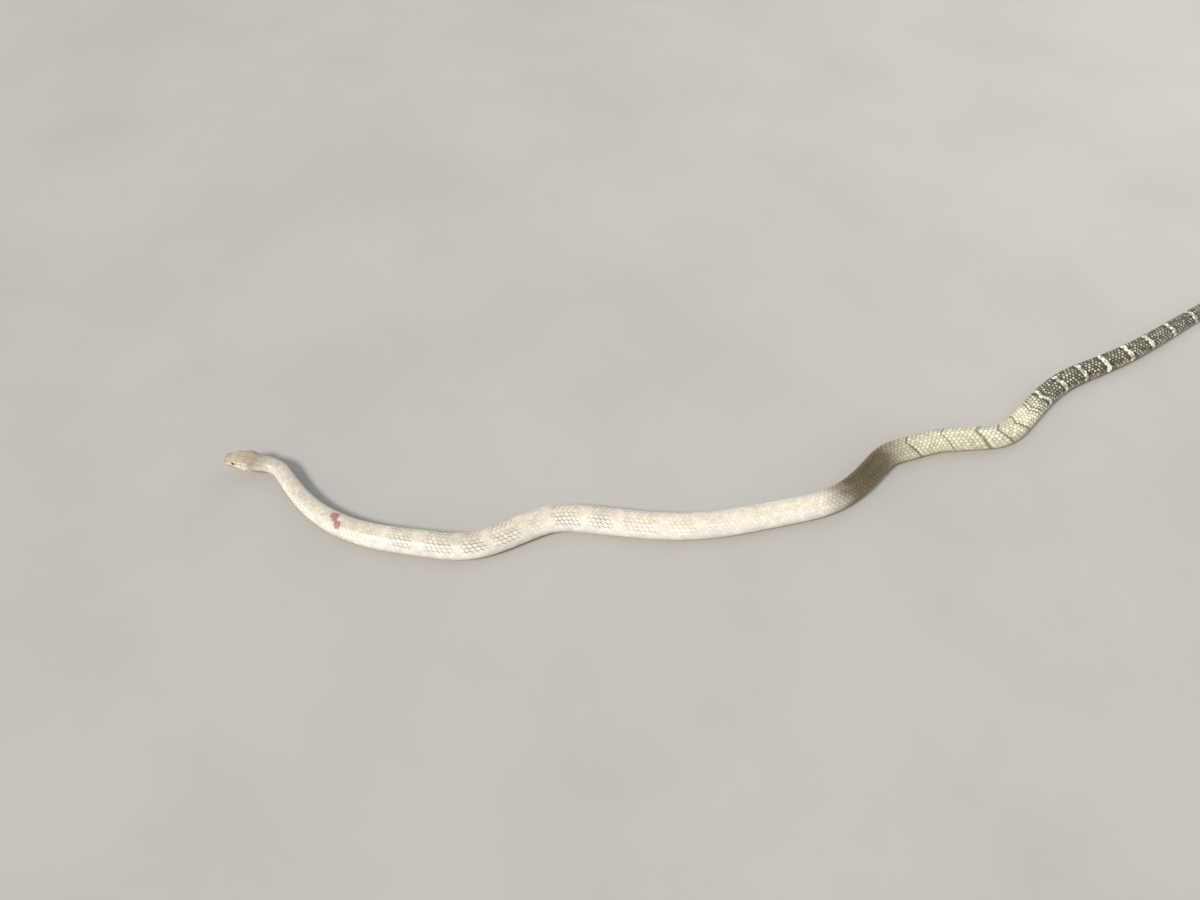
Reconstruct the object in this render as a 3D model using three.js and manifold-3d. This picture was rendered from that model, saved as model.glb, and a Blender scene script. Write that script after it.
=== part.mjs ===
// A life-size king cobra, lying stretched on the floor in one long loose curve.
// It is parted with thin cuts into head, lower jaw, eyes, neck, seven lengths of torso and two of tail.
// Millimetres and degrees, +Z up. The snout points to -X, and the origin is the middle of the footprint.
// Places on the animal are given as [behind, side, up]: how far behind the snout, measured along the
// body, how far to the animal's left, and how high above the line of the belly.
import * as THREE from "three";
import { mergeVertices } from "three/addons/utils/BufferGeometryUtils.js";
import Module from "manifold-3d";

const wasm = await Module();
wasm.setup();

// Driving sizes
const TOTAL_LENGTH = 3950;
const HEAD_LENGTH = 98;
const CUT = 0.3;
const SNOUT = [-1751.2, -193.3];
const FIRST_HEADING = -5;

// The body's course on the floor: each bend starts so far behind the snout, is so long and turns so far,
// seen from above and walked from the snout towards the tail.
const BENDS = [
  { start: 98, length: 80, turn: -48 },
  { start: 150, length: 450, turn: 44 },
  { start: 650, length: 200, turn: 35 },
  { start: 900, length: 150, turn: -33 },
  { start: 1140, length: 370, turn: 20 },
  { start: 1590, length: 270, turn: 35 },
  { start: 1880, length: 90, turn: -30 },
  { start: 2050, length: 60, turn: -14 },
  { start: 2200, length: 140, turn: 42 },
  { start: 2410, length: 280, turn: -23 },
  { start: 2570, length: 420, turn: 10 },
  { start: 3180, length: 400, turn: -80 },
  { start: 3640, length: 290, turn: 34 },
];

// The neck rises from the floor and carries the head this high
const LIFT = 28;
const LIFT_LENGTH = 340;

// Width and height of the body, so far behind the snout
const GIRTH = [
  [98, 46, 36],
  [135, 43, 34],
  [200, 45, 36],
  [300, 52, 43],
  [450, 62, 52],
  [700, 69, 59],
  [1100, 71, 62],
  [1500, 68, 60],
  [1900, 64, 57],
  [2300, 63, 56],
  [2700, 56, 50],
  [3000, 48, 43.5],
  [3160, 43, 39],
  [3400, 31, 28.5],
  [3700, 17, 16],
  [3900, 8, 7.6],
  [3950, 6, 5.8],
];
const WAIST = 0.46; // height of the widest line, as a share of the whole height
const FLAT_ANGLE = 150; // from here round to the middle of the belly the body lies flat
const BODY_SQUARENESS = 0.9;
const TIP_ROUNDING = 9;

// Half width of the head, and its reach above and below the line of the lips
const HEAD = [
  [0, 11, 8.4, 5.4],
  [4, 13.4, 10, 7],
  [10, 15.8, 11.6, 8.6],
  [20, 18.4, 14.2, 10.8],
  [30, 20.8, 16.8, 12.6],
  [42, 24, 18.6, 14.4],
  [56, 27.4, 19.6, 16],
  [70, 29.2, 20.2, 17.2],
  [82, 27.8, 19.8, 17.5],
  [98, 23, 18.5, 17.5],
];
const LIPS_UP = 17.5; // the line of the lips above the line of the belly
const SNOUT_ROUNDING = 8;
const HEAD_SQUARENESS = { crown: 0.72, throat: 0.86 };
const NECK_BLEND = 70; // from here on the head's outline turns into the body's
const BROW = { behind: 32, reach: 15, angle: 50, spread: 13, swell: 1.5 };
const CHEEK = { behind: 66, reach: 18, angle: 78, spread: 22, swell: 1.2 };
const LIP = { behind: 34, reach: 30, angle: 86, spread: 7, swell: 0.7 };

// The mouth, parted as in a slow hiss
const MOUTH_CORNER = 66;
const GAPE = 12;
const LIP_SAG = 1.4;

const EYE = { behind: 31, up: 26.5, radius: 5.3, bulge: 1.4 };
const NOSTRIL = { behind: 8.6, up: 23.2, long: 1.9, high: 1.5, deep: 2.6 };

// The large shields of the crown, as corners [behind, share of the head's half width] on the left side.
// Those that cross the middle are given whole.
const SHIELD_RISE = 0.6;
const SHIELD_ROOT = 1.6;
const PAIRED_SHIELDS = {
  internasal: [[3.2, 0.06], [9.4, 0.04], [9.8, 0.5], [5.6, 0.56]],
  prefrontal: [[10.2, 0.04], [19.4, 0.04], [19.8, 0.7], [13, 0.8], [10.6, 0.5]],
  supraocular: [[20.8, 0.42], [21, 0.74], [28, 0.86], [36, 0.86], [41.5, 0.7], [40.4, 0.42], [33, 0.32]],
  parietal: [[40.6, 0.04], [36.4, 0.24], [41.6, 0.42], [43.4, 0.7], [52, 0.7], [60, 0.52], [61.6, 0.04]],
  occipital: [[63.2, 0.04], [62, 0.5], [68, 0.62], [77, 0.56], [83, 0.34], [84, 0.04]],
};
const FRONTAL = [[20.6, -0.36], [20.6, 0.36], [27, 0.36], [33, 0.25], [39.4, 0], [33, -0.25], [27, -0.36]];

// Where the thin cuts part the body, and the colours of the lengths
const COLOURS = { pale: 0xc9c4a8, sage: 0xa5a58a, banded: 0x5e5f50, crown: 0xa8997f, jaw: 0xddd5bd, eye: 0x2a1c12 };
const LENGTHS = [
  { name: "neck", from: 98, to: 240, colour: COLOURS.pale },
  { name: "torso_1", from: 240, to: 640, colour: COLOURS.pale },
  { name: "torso_2", from: 640, to: 960, colour: COLOURS.pale },
  { name: "torso_3", from: 960, to: 1400, colour: COLOURS.pale },
  { name: "torso_4", from: 1400, to: 1850, colour: COLOURS.pale },
  { name: "torso_5", from: 1850, to: 2230, colour: COLOURS.sage },
  { name: "torso_6", from: 2230, to: 2640, colour: COLOURS.sage },
  { name: "torso_7", from: 2640, to: 3160, colour: COLOURS.banded },
  { name: "tail_1", from: 3160, to: 3560, colour: COLOURS.banded },
  { name: "tail_2", from: 3560, to: 3950, colour: COLOURS.banded },
];

// Fineness of the mesh
const BODY_SIDES = 24;
const BODY_STEP = { width: 0.55, least: 13, turn: 8 }; // share of the body's width, mm, degrees
const HEAD_SIDES = 40;
const HEAD_STEPS = 30;
const SHIELD_EDGE = 4.5;
const SHIELD_RINGS = [1, 0.82, 0.45];

const radians = THREE.MathUtils.degToRad;
const smoothstep = (share) => THREE.MathUtils.smoothstep(share, 0, 1);

// A smooth value between the rows of a table, each [place, value, ...]: a cubic whose slope at each
// row is that of the line between its neighbours
function between(table, place, column) {
  const last = table.length - 1;
  const at = Math.min(Math.max(place, table[0][0]), table[last][0]);
  let i = 0;
  while (i < last - 1 && at > table[i + 1][0]) i += 1;
  const slope = (k) => {
    const [a, b] = [table[Math.max(k - 1, 0)], table[Math.min(k + 1, last)]];
    return (b[column] - a[column]) / (b[0] - a[0]);
  };
  const span = table[i + 1][0] - table[i][0];
  const t = (at - table[i][0]) / span;
  const [rise, fall] = [t * t * (3 - 2 * t), t * (1 - t)];
  return (
    table[i][column] * (1 - rise) +
    table[i + 1][column] * rise +
    span * fall * ((1 - t) * slope(i) - t * slope(i + 1))
  );
}

// The course on the floor, walked in steps of 1 mm
const course = [{ x: SNOUT[0], y: SNOUT[1], heading: radians(FIRST_HEADING) }];
for (let step = 0; step < TOTAL_LENGTH; step += 1) {
  const turned = BENDS.reduce((sum, b) => sum + b.turn * smoothstep((step + 0.5 - b.start) / b.length), 0);
  const heading = radians(FIRST_HEADING + turned);
  const { x, y } = course[step];
  course.push({ x: x + Math.cos(heading), y: y + Math.sin(heading), heading });
}

const headingAt = (behind) => course[Math.min(Math.round(behind), TOTAL_LENGTH)].heading;

// A place on the animal as a point of the frame
function place([behind, side, up]) {
  const i = Math.min(Math.max(Math.floor(behind), 0), TOTAL_LENGTH - 1);
  const on = behind - i;
  const heading = course[i + 1].heading;
  const lift = LIFT * smoothstep(1 - behind / LIFT_LENGTH);
  return new THREE.Vector3(
    course[i].x + on * Math.cos(heading) + side * Math.sin(heading),
    course[i].y + on * Math.sin(heading) - side * Math.cos(heading),
    up + lift,
  );
}

// The power of a sine or cosine that keeps its sign, which squares a round outline
const squared = (value, power) => Math.sign(value) * Math.abs(value) ** power;

// How a blunt end closes: the share of the full width, so far from its tip
const blunt = (from, rounding) => Math.sqrt(1 - (1 - Math.min(from / rounding, 1)) ** 2);

// A point of the body's outline, at an angle from the ridge of the back
function bodyOutline(behind, angle) {
  const end = blunt(TOTAL_LENGTH - behind, TIP_ROUNDING);
  const [width, height] = [between(GIRTH, behind, 1) * end, between(GIRTH, behind, 2)];
  const waist = WAIST * height;
  const reach = Math.cos(angle) > 0 ? height - waist : -waist / Math.cos(radians(FLAT_ANGLE));
  const up = waist + end * reach * Math.cos(angle);
  return [(width / 2) * squared(Math.sin(angle), BODY_SQUARENESS), Math.max(up, 0)];
}

// A soft swelling of the head about one place
function swelling({ behind, reach, angle, spread, swell }, at, round) {
  const [along, across] = [(at - behind) / reach, (round - radians(angle)) / radians(spread)];
  return swell * Math.exp(-along * along - across * across);
}

// A point of the head's outline, raised by rise along the outline's own normal
function headOutline(behind, angle, rise = 0) {
  const nose = blunt(behind, SNOUT_ROUNDING);
  const round = Math.abs(angle);
  const swells = [BROW, CHEEK, LIP].reduce((sum, s) => sum + swelling(s, behind, round), 0);
  const half = between(HEAD, behind, 1) * nose;
  const above = Math.cos(angle) > 0;
  const reach = between(HEAD, behind, above ? 2 : 3) * nose;
  const power = above ? HEAD_SQUARENESS.crown : HEAD_SQUARENESS.throat;
  const out = (swells + rise) * nose;
  const head = [
    half * squared(Math.sin(angle), power) + out * Math.sin(angle),
    LIPS_UP + reach * squared(Math.cos(angle), power) + out * Math.cos(angle),
  ];
  const blend = smoothstep((behind - NECK_BLEND) / (HEAD_LENGTH - NECK_BLEND));
  const body = bodyOutline(Math.max(behind, HEAD_LENGTH), angle);
  return head.map((value, i) => value * (1 - blend) + (body[i] + rise * (1 - i) * Math.sin(angle)) * blend);
}

// The closed skin over rings of points, each given as [behind, side, up], with flat or pointed ends
function loft(rings) {
  const sides = rings[0].length;
  const points = rings.flat();
  const faces = [];
  for (let r = 0; r + 1 < rings.length; r += 1)
    for (let k = 0; k < sides; k += 1) {
      const [a, b] = [r * sides + k, r * sides + ((k + 1) % sides)];
      faces.push([a, b, a + sides], [b, b + sides, a + sides]);
    }
  for (const [ring, start] of [[rings[0], 0], [rings.at(-1), (rings.length - 1) * sides]]) {
    const middle = points.push(ring[0].map((_, i) => ring.reduce((sum, p) => sum + p[i], 0) / sides)) - 1;
    for (let k = 0; k < sides; k += 1) {
      const [a, b] = [start + k, start + ((k + 1) % sides)];
      faces.push(start ? [a, b, middle] : [b, a, middle]);
    }
  }
  return solid(points, faces);
}

// A closed solid of points and triangles, with its faces turned outwards
function solid(points, faces) {
  const geometry = new THREE.BufferGeometry();
  geometry.setAttribute("position", new THREE.Float32BufferAttribute(points.flat(), 3));
  geometry.setIndex(faces.flat());
  return solidOf(geometry);
}

function solidOf(geometry) {
  const bare = new THREE.BufferGeometry();
  bare.setAttribute("position", geometry.getAttribute("position"));
  bare.setIndex(geometry.index);
  const merged = mergeVertices(bare, 1e-4);
  const vertProperties = new Float32Array(merged.getAttribute("position").array);
  const triVerts = new Uint32Array(merged.index.array);
  const made = new wasm.Manifold(new wasm.Mesh({ numProp: 3, vertProperties, triVerts }));
  if (made.volume() > 0) return made;
  for (let i = 0; i < triVerts.length; i += 3) [triVerts[i], triVerts[i + 1]] = [triVerts[i + 1], triVerts[i]];
  return new wasm.Manifold(new wasm.Mesh({ numProp: 3, vertProperties, triVerts }));
}

// The largest closed piece of a solid, set in its place on the animal, as a mesh
function node(name, made, colour, finish = { roughness: 0.45, metalness: 0 }) {
  const [whole] = made.decompose().sort((a, b) => b.volume() - a.volume());
  const { vertProperties, triVerts, numProp } = whole.getMesh();
  const points = [];
  for (let i = 0; i < vertProperties.length; i += numProp)
    points.push(...place(Array.from(vertProperties.subarray(i, i + 3))).toArray());
  const geometry = new THREE.BufferGeometry();
  geometry.setAttribute("position", new THREE.Float32BufferAttribute(points, 3));
  // Distance, left and up make a left-handed set, so each triangle is turned over as it is placed
  const turned = Array.from(triVerts);
  for (let i = 0; i < turned.length; i += 3) [turned[i], turned[i + 1]] = [turned[i + 1], turned[i]];
  geometry.setIndex(turned);
  geometry.computeVertexNormals();
  const mesh = new THREE.Mesh(geometry, new THREE.MeshStandardMaterial({ color: colour, ...finish }));
  mesh.name = name;
  return mesh;
}

// The angles of a ring's points
const around = (sides) => Array.from({ length: sides }, (_, k) => (2 * Math.PI * k) / sides);

// One length of neck, torso or tail
function bodyLength(from, to) {
  const [start, tip] = [from + CUT / 2, to === TOTAL_LENGTH];
  const end = tip ? to - 0.4 : to - CUT / 2;
  const places = [start];
  for (let at = start + 1; places.at(-1) < end; at += 1) {
    const step = Math.max(BODY_STEP.width * between(GIRTH, at, 1), BODY_STEP.least);
    const turn = Math.abs(headingAt(at) - headingAt(places.at(-1)));
    if (at - places.at(-1) >= step || turn >= radians(BODY_STEP.turn)) places.push(at);
  }
  const stretch = (end - start) / (places.at(-1) - start);
  const rings = places.map((at) => {
    const behind = start + (at - start) * stretch;
    return around(BODY_SIDES).map((angle) => [behind, ...bodyOutline(behind, angle)]);
  });
  return loft(rings);
}

// The whole head with its mouth shut, its rings set closer towards the snout
function wholeHead() {
  const rings = [];
  for (let i = 0; i <= HEAD_STEPS; i += 1) {
    const share = i / HEAD_STEPS;
    const behind = 0.12 + (HEAD_LENGTH - CUT / 2 - 0.12) * share ** 1.5;
    rings.push(around(HEAD_SIDES).map((angle) => [behind, ...headOutline(behind, angle)]));
  }
  return loft(rings);
}

// A shield of the crown: its outline is followed on the head, sunk at the root and raised above
function shield(corners) {
  const middle = [0, 1].map((i) => corners.reduce((sum, c) => sum + c[i], 0) / corners.length);
  const outline = corners.flatMap(([behind, share], i) => {
    const [nextBehind, nextShare] = corners[(i + 1) % corners.length];
    const half = between(HEAD, behind, 1);
    const parts = Math.ceil(Math.hypot(nextBehind - behind, (nextShare - share) * half) / SHIELD_EDGE);
    return Array.from({ length: parts }, (_, k) => [
      behind + ((nextBehind - behind) * k) / parts,
      share + ((nextShare - share) * k) / parts,
    ]);
  });
  const onHead = ([behind, share], rise) => {
    const angle = Math.asin(squared(share, 1 / HEAD_SQUARENESS.crown));
    return [behind, ...headOutline(behind, angle, rise)];
  };
  const ring = (share, rise) =>
    outline.map((p) => onHead(p.map((value, i) => middle[i] + (value - middle[i]) * share), rise));
  const rings = [ring(1, -SHIELD_ROOT), ...SHIELD_RINGS.map((share, i) => ring(share, SHIELD_RISE * (i ? 1 : 0.35)))];
  const sides = outline.length;
  const points = rings.flat();
  const faces = [];
  for (let r = 0; r + 1 < rings.length; r += 1)
    for (let k = 0; k < sides; k += 1) {
      const [a, b] = [r * sides + k, r * sides + ((k + 1) % sides)];
      faces.push([a, b, a + sides], [b, b + sides, a + sides]);
    }
  const [top, root] = [points.push(onHead(middle, SHIELD_RISE)) - 1, points.push(onHead(middle, -SHIELD_ROOT)) - 1];
  for (let k = 0; k < sides; k += 1) {
    const [a, b] = [k, (k + 1) % sides];
    faces.push([b, a, root], [a + (rings.length - 1) * sides, b + (rings.length - 1) * sides, top]);
  }
  return solid(points, faces);
}

// A ball, squashed along each axis, as [behind, side, up]
function ball(middle, radii, sides = 20) {
  const geometry = new THREE.SphereGeometry(1, sides, sides / 2);
  geometry.scale(...radii);
  geometry.translate(...middle);
  return solidOf(geometry);
}

// A prism right across the head over an outline of [behind, up]
function acrossHead(outline) {
  const shape = new THREE.Shape(outline.map(([behind, up]) => new THREE.Vector2(behind, up)));
  const geometry = new THREE.ExtrudeGeometry(shape, { depth: 120, bevelEnabled: false });
  geometry.translate(0, 0, -60);
  geometry.rotateX(Math.PI / 2);
  geometry.setIndex(Array.from({ length: geometry.getAttribute("position").count }, (_, i) => i));
  return solidOf(geometry);
}

// The line of the lips from the snout to the corner of the mouth, offset up or down
function lipLine(offset) {
  return [-2, 6, 14, 22, 30, 38, 46, 54, 62, MOUTH_CORNER].map((behind) => {
    const sag = LIP_SAG * Math.sin((Math.PI * Math.max(behind, 0)) / MOUTH_CORNER);
    return [behind, LIPS_UP + offset - sag];
  });
}

// The half width of the head at a height, found on its outline
function sideAt(behind, up) {
  let [low, high] = [0, Math.PI / 2];
  for (let i = 0; i < 30; i += 1) {
    const middle = (low + high) / 2;
    if (headOutline(behind, middle)[1] > up) low = middle;
    else high = middle;
  }
  return headOutline(behind, low)[0];
}

// Head, lower jaw and eyes, cut from one whole head
function headNodes() {
  const shields = [shield(FRONTAL)];
  for (const corners of Object.values(PAIRED_SHIELDS))
    for (const left of [1, -1]) {
      const mirrored = corners.map(([behind, share]) => [behind, share * left]);
      shields.push(shield(left > 0 ? mirrored : mirrored.reverse()));
    }
  const closed = wholeHead();
  const eyeSide = sideAt(EYE.behind, EYE.up) - EYE.radius + EYE.bulge;
  const nostrilSide = sideAt(NOSTRIL.behind, NOSTRIL.up);
  let head = wasm.Manifold.union([closed, ...shields]);

  const deep = LIPS_UP - 40;
  head = head.subtract(acrossHead([...lipLine(0), [MOUTH_CORNER, deep], [-2, deep]]));
  const eyes = [];
  for (const [name, left] of [["eye_left", 1], ["eye_right", -1]]) {
    const middle = [EYE.behind, left * eyeSide, EYE.up];
    head = head.subtract(ball(middle, [1, 1, 1].map(() => EYE.radius + CUT)));
    eyes.push(node(name, ball(middle, [1, 1, 1].map(() => EYE.radius)), COLOURS.eye, { roughness: 0.08, metalness: 0 }));
    const nostril = [NOSTRIL.behind, left * nostrilSide, NOSTRIL.up];
    head = head.subtract(ball(nostril, [NOSTRIL.long, NOSTRIL.deep, NOSTRIL.high], 12));
  }

  // The jaw's back is cut slanting, so that it stands upright against the throat once the jaw has dropped
  const slant = Math.tan(radians(GAPE));
  const back = MOUTH_CORNER - CUT;
  const jawLine = lipLine(-CUT).filter(([behind]) => behind < back - 2);
  const region = acrossHead([...jawLine, [back, LIPS_UP - CUT], [back - (LIPS_UP - deep) * slant, deep], [-2, deep]]);
  const jaw = closed
    .intersect(region)
    .translate([-MOUTH_CORNER, 0, -LIPS_UP])
    .rotate([0, -GAPE, 0])
    .translate([MOUTH_CORNER, 0, LIPS_UP]);
  return [node("head", head, COLOURS.crown), node("lower_jaw", jaw, COLOURS.jaw), ...eyes];
}

const cobra = new THREE.Group();
cobra.name = "king_cobra";
cobra.add(...headNodes());
for (const { name, from, to, colour } of LENGTHS) cobra.add(node(name, bodyLength(from, to), colour));

export default cobra;
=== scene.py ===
"""A life-size king cobra, stretched on the floor in one long loose curve.

Places on the animal are given as [behind, side, up]: how far behind the snout, measured along the body,
how far to the animal's left, and how high above the line of the belly, in millimetres. An angle goes
round the body from the ridge of the back, positive to the left.
"""

import math

import bpy
import numpy as np
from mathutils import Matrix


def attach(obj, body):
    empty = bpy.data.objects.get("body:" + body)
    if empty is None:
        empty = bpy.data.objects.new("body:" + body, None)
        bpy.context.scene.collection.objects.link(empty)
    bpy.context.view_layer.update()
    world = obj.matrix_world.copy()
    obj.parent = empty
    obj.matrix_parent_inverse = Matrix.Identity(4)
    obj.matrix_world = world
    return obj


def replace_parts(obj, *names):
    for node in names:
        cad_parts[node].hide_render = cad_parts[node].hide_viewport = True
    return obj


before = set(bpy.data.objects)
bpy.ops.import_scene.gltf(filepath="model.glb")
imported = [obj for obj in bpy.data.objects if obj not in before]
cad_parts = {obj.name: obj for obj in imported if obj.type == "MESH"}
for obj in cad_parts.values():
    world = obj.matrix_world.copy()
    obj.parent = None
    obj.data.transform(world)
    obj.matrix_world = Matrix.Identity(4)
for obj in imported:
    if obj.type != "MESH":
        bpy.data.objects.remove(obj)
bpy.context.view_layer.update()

bl_info = {
    "name": "King cobra",
    "version": (1, 0, 0),
    "blender": (4, 5, 0),
    "location": "View3D > Sidebar > Cobra",
    "description": "Dresses the solids of a king cobra with skin, shields, scales, eyes and a plain stage",
    "category": "Add Mesh",
}

# The same measures as the solids, in millimetres and degrees

TOTAL_LENGTH = 3950
HEAD_LENGTH = 98
VENT = 3160
SNOUT = (-1751.2, -193.3)
FIRST_HEADING = -5
BENDS = np.array(  # where each bend starts, how long it is and how far it turns
    [
        (98, 80, -48), (150, 450, 44), (650, 200, 35), (900, 150, -33), (1140, 370, 20),
        (1590, 270, 35), (1880, 90, -30), (2050, 60, -14), (2200, 140, 42), (2410, 280, -23),
        (2570, 420, 10), (3180, 400, -80), (3640, 290, 34),
    ],
    float,
)
LIFT = 28
LIFT_LENGTH = 340
GIRTH = np.array(  # place, width, height
    [
        (98, 46, 36), (135, 43, 34), (200, 45, 36), (300, 52, 43), (450, 62, 52), (700, 69, 59),
        (1100, 71, 62), (1500, 68, 60), (1900, 64, 57), (2300, 63, 56), (2700, 56, 50),
        (3000, 48, 43.5), (3160, 43, 39), (3400, 31, 28.5), (3700, 17, 16), (3900, 8, 7.6),
        (3950, 6, 5.8),
    ]
)
WAIST = 0.46
FLAT_ANGLE = math.radians(150)
BODY_SQUARENESS = 0.9
TIP_ROUNDING = 9
HEAD = np.array(  # place, half width, reach above the lips, reach below them
    [
        (0, 11, 8.4, 5.4), (4, 13.4, 10, 7), (10, 15.8, 11.6, 8.6), (20, 18.4, 14.2, 10.8),
        (30, 20.8, 16.8, 12.6), (42, 24, 18.6, 14.4), (56, 27.4, 19.6, 16), (70, 29.2, 20.2, 17.2),
        (82, 27.8, 19.8, 17.5), (98, 23, 18.5, 17.5),
    ]
)
LIPS_UP = 17.5
LIP_SAG = 1.4
SNOUT_ROUNDING = 8
CROWN_SQUARENESS, THROAT_SQUARENESS = 0.72, 0.86
NECK_BLEND = 70  # where the head's outline starts to turn into the body's
SWELLINGS = (  # brow, cheek and lip: place, reach, angle, spread of the angle, height
    (32, 15, 50, 13, 1.5),
    (66, 18, 78, 22, 1.2),
    (34, 30, 86, 7, 0.7),
)
MOUTH_CORNER = 66
JAW_FADE, LIP_FADE = 6, 0.25  # how softly the lower jaw's turn ends behind the corner, and round the lips
EYE_BEHIND, EYE_UP, EYE_RADIUS, EYE_BULGE = 31, 26.5, 5.3, 1.4
SOCKET_RIM, SOCKET_DEPTH = 0.55, 0.9
NOSTRIL_BEHIND, NOSTRIL_UP = 8.6, 23.2
NOSTRIL_LONG, NOSTRIL_TALL, NOSTRIL_DEPTH, NOSTRIL_RING = 1.9, 1.5, 2.4, 0.3
FACE_END = 45  # behind this there is neither eye nor nostril
FANG_LENGTH, FANG_RADIUS, FANG_BEHIND, FANG_APART, FANG_UP, FANG_CURVE = 8, 1.1, 9.5, 18, 2.4, 2.4
RIM_SIZES = [  # place, height, half length, half height, half width of the ring, how high it stands, side
    (at, up, long, tall, wide, high, left)
    for at, up, long, tall, wide, high in (
        (EYE_BEHIND, EYE_UP, 4.3, 4.3, 0.75, 0.75),
        (NOSTRIL_BEHIND, NOSTRIL_UP, 2.1, 1.65, 0.5, 0.5),
    )
    for left in (1, -1)
]
FLESH = [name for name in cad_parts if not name.startswith("eye_")]  # the nodes the skin stands for

# What the scales add

PITCH = np.array(  # place, step from one scale of a row to the next
    [
        (48, 6.2), (80, 6.6), (130, 8), (300, 10.4), (600, 12.3), (2800, 12.6), (3160, 10.8),
        (3500, 8.2), (3800, 5.6), (3950, 4.2),
    ]
)
ROWS = np.array(  # place, rows of scales over the back
    [
        (48, 19), (150, 18.6), (300, 17), (650, 15), (2900, 15), (3160, 13.4), (3400, 10.8), (3700, 7.2),
        (3950, 5),
    ]
)
ROW_START = (81, 80, 79, 76, 66.5, 64, 62.5, 61.5, 61, 61)  # from the ridge outwards
BACK_SHARE = 0.685  # of the way round from ridge to middle of the belly, up to the belly's scutes
ROW_FIT = 0.2  # by how much of a row the outermost scales may pass the space for them
END_MARGIN = 0.6  # how far short of the tip the last scales end
COAT_STARTS, COAT_DEEPENS = 70, 150  # where the coat takes over from the face, and over what length
THIN_WIDTH = 34  # where the body is narrower than this, the coat grows thinner with it
SMOOTH_STRETCH = (320, 1800, 300)  # where the scales lie flatter: start, end, softness
LEAN, SLANT = 0.2, 0.5  # how far a marking slants back from one row to the next, in steps: least and most
SLANTED_STRETCH = (1760, 2440, 160)  # where it slants most: start, end, softness
HATCH_SOFTNESS = 7
HATCHED = np.array(  # where dark lines stand between the scales: start, end, strength
    [
        (120, 185, 0.2), (215, 285, 0.25), (305, 372, 0.3), (395, 450, 0.35), (470, 520, 0.45),
        (540, 594, 0.9), (629, 697, 1), (719, 772, 1), (796, 858, 0.9), (886, 930, 0.35),
        (958, 1026, 1), (1054, 1109, 0.95), (1138, 1217, 0.75), (1250, 1315, 0.45), (1345, 1410, 0.3),
        (1445, 1500, 0.25), (1535, 1595, 0.2),
    ],
    float,
)
# Pale rings: place on the ridge, half width, paleness, darkness of their edges. A half width below 0 leaves
# only a thin dark line
RINGS = np.array(
    [
        (1870, -4, 0, 0.2), (1972, -3.7, 0, 0.85), (2077, -3.4, 0, 0.85), (2175, -3.9, 0, 0.8),
        (2236, -3.6, 0, 0.75), (2293, -3.6, 0, 0.9), (2370, 4, 0.6, 0.85), (2433, 8, 0.9, 1),
        (2522, 8, 1, 1), (2610, 8, 1, 1), (2696, 8.5, 1, 1), (2788, 8.5, 1, 1), (2877, 8.5, 1, 1),
        (2976, 8.5, 1, 1), (3080, 8.5, 1, 1), (3171, 8, 1, 1), (3258, 8, 1, 1), (3341, 8, 1, 1),
        (3419, 8, 1, 1), (3493, 7.5, 1, 1), (3563, 7, 1, 1), (3629, 7, 1, 1), (3691, 6.5, 1, 1),
        (3749, 6, 1, 1), (3803, 6, 1, 1), (3853, 5.5, 1, 1), (3899, 5, 1, 1),
    ]
)
GRAZES = (  # middles of the raw spots as [behind, side, up], and their reach in metres
    ((391, -5, 48), 0.013),
    ((401, 6, 47.5), 0.006),
    ((411, 13, 45.5), 0.011),
)

# The shields of the head on the left side, as corners [behind, round], where round is 0 at the ridge, 1 at
# the lips and 2 at the middle of the throat. Neighbours share their corners

CROWN_SHIELDS = {
    "internasal": [(3.3, 0), (9.8, 0), (10.5, 0.24), (10.4, 0.4), (7.3, 0.39), (2.9, 0.4)],
    "prefrontal": [(9.8, 0), (20.4, 0), (20.7, 0.17), (20.9, 0.45), (15, 0.56), (10.4, 0.4), (10.5, 0.24)],
    "supraocular": [
        (20.7, 0.17), (20.9, 0.45), (26.6, 0.585), (31, 0.555), (36.2, 0.585), (42.2, 0.44),
        (41.2, 0.21), (34, 0.125), (27, 0.165),
    ],
    "parietal": [(41, 0), (34, 0.125), (41.2, 0.21), (42.2, 0.44), (53, 0.45), (60.6, 0.33), (62.5, 0)],
    "occipital": [(62.5, 0), (60.6, 0.33), (66, 0.42), (76, 0.4), (83.6, 0.24), (85.3, 0)],
}
FRONTAL = [
    (20.4, 0), (20.7, 0.17), (27, 0.165), (34, 0.125), (41, 0), (34, -0.125), (27, -0.165),
    (20.7, -0.17),
]
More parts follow.
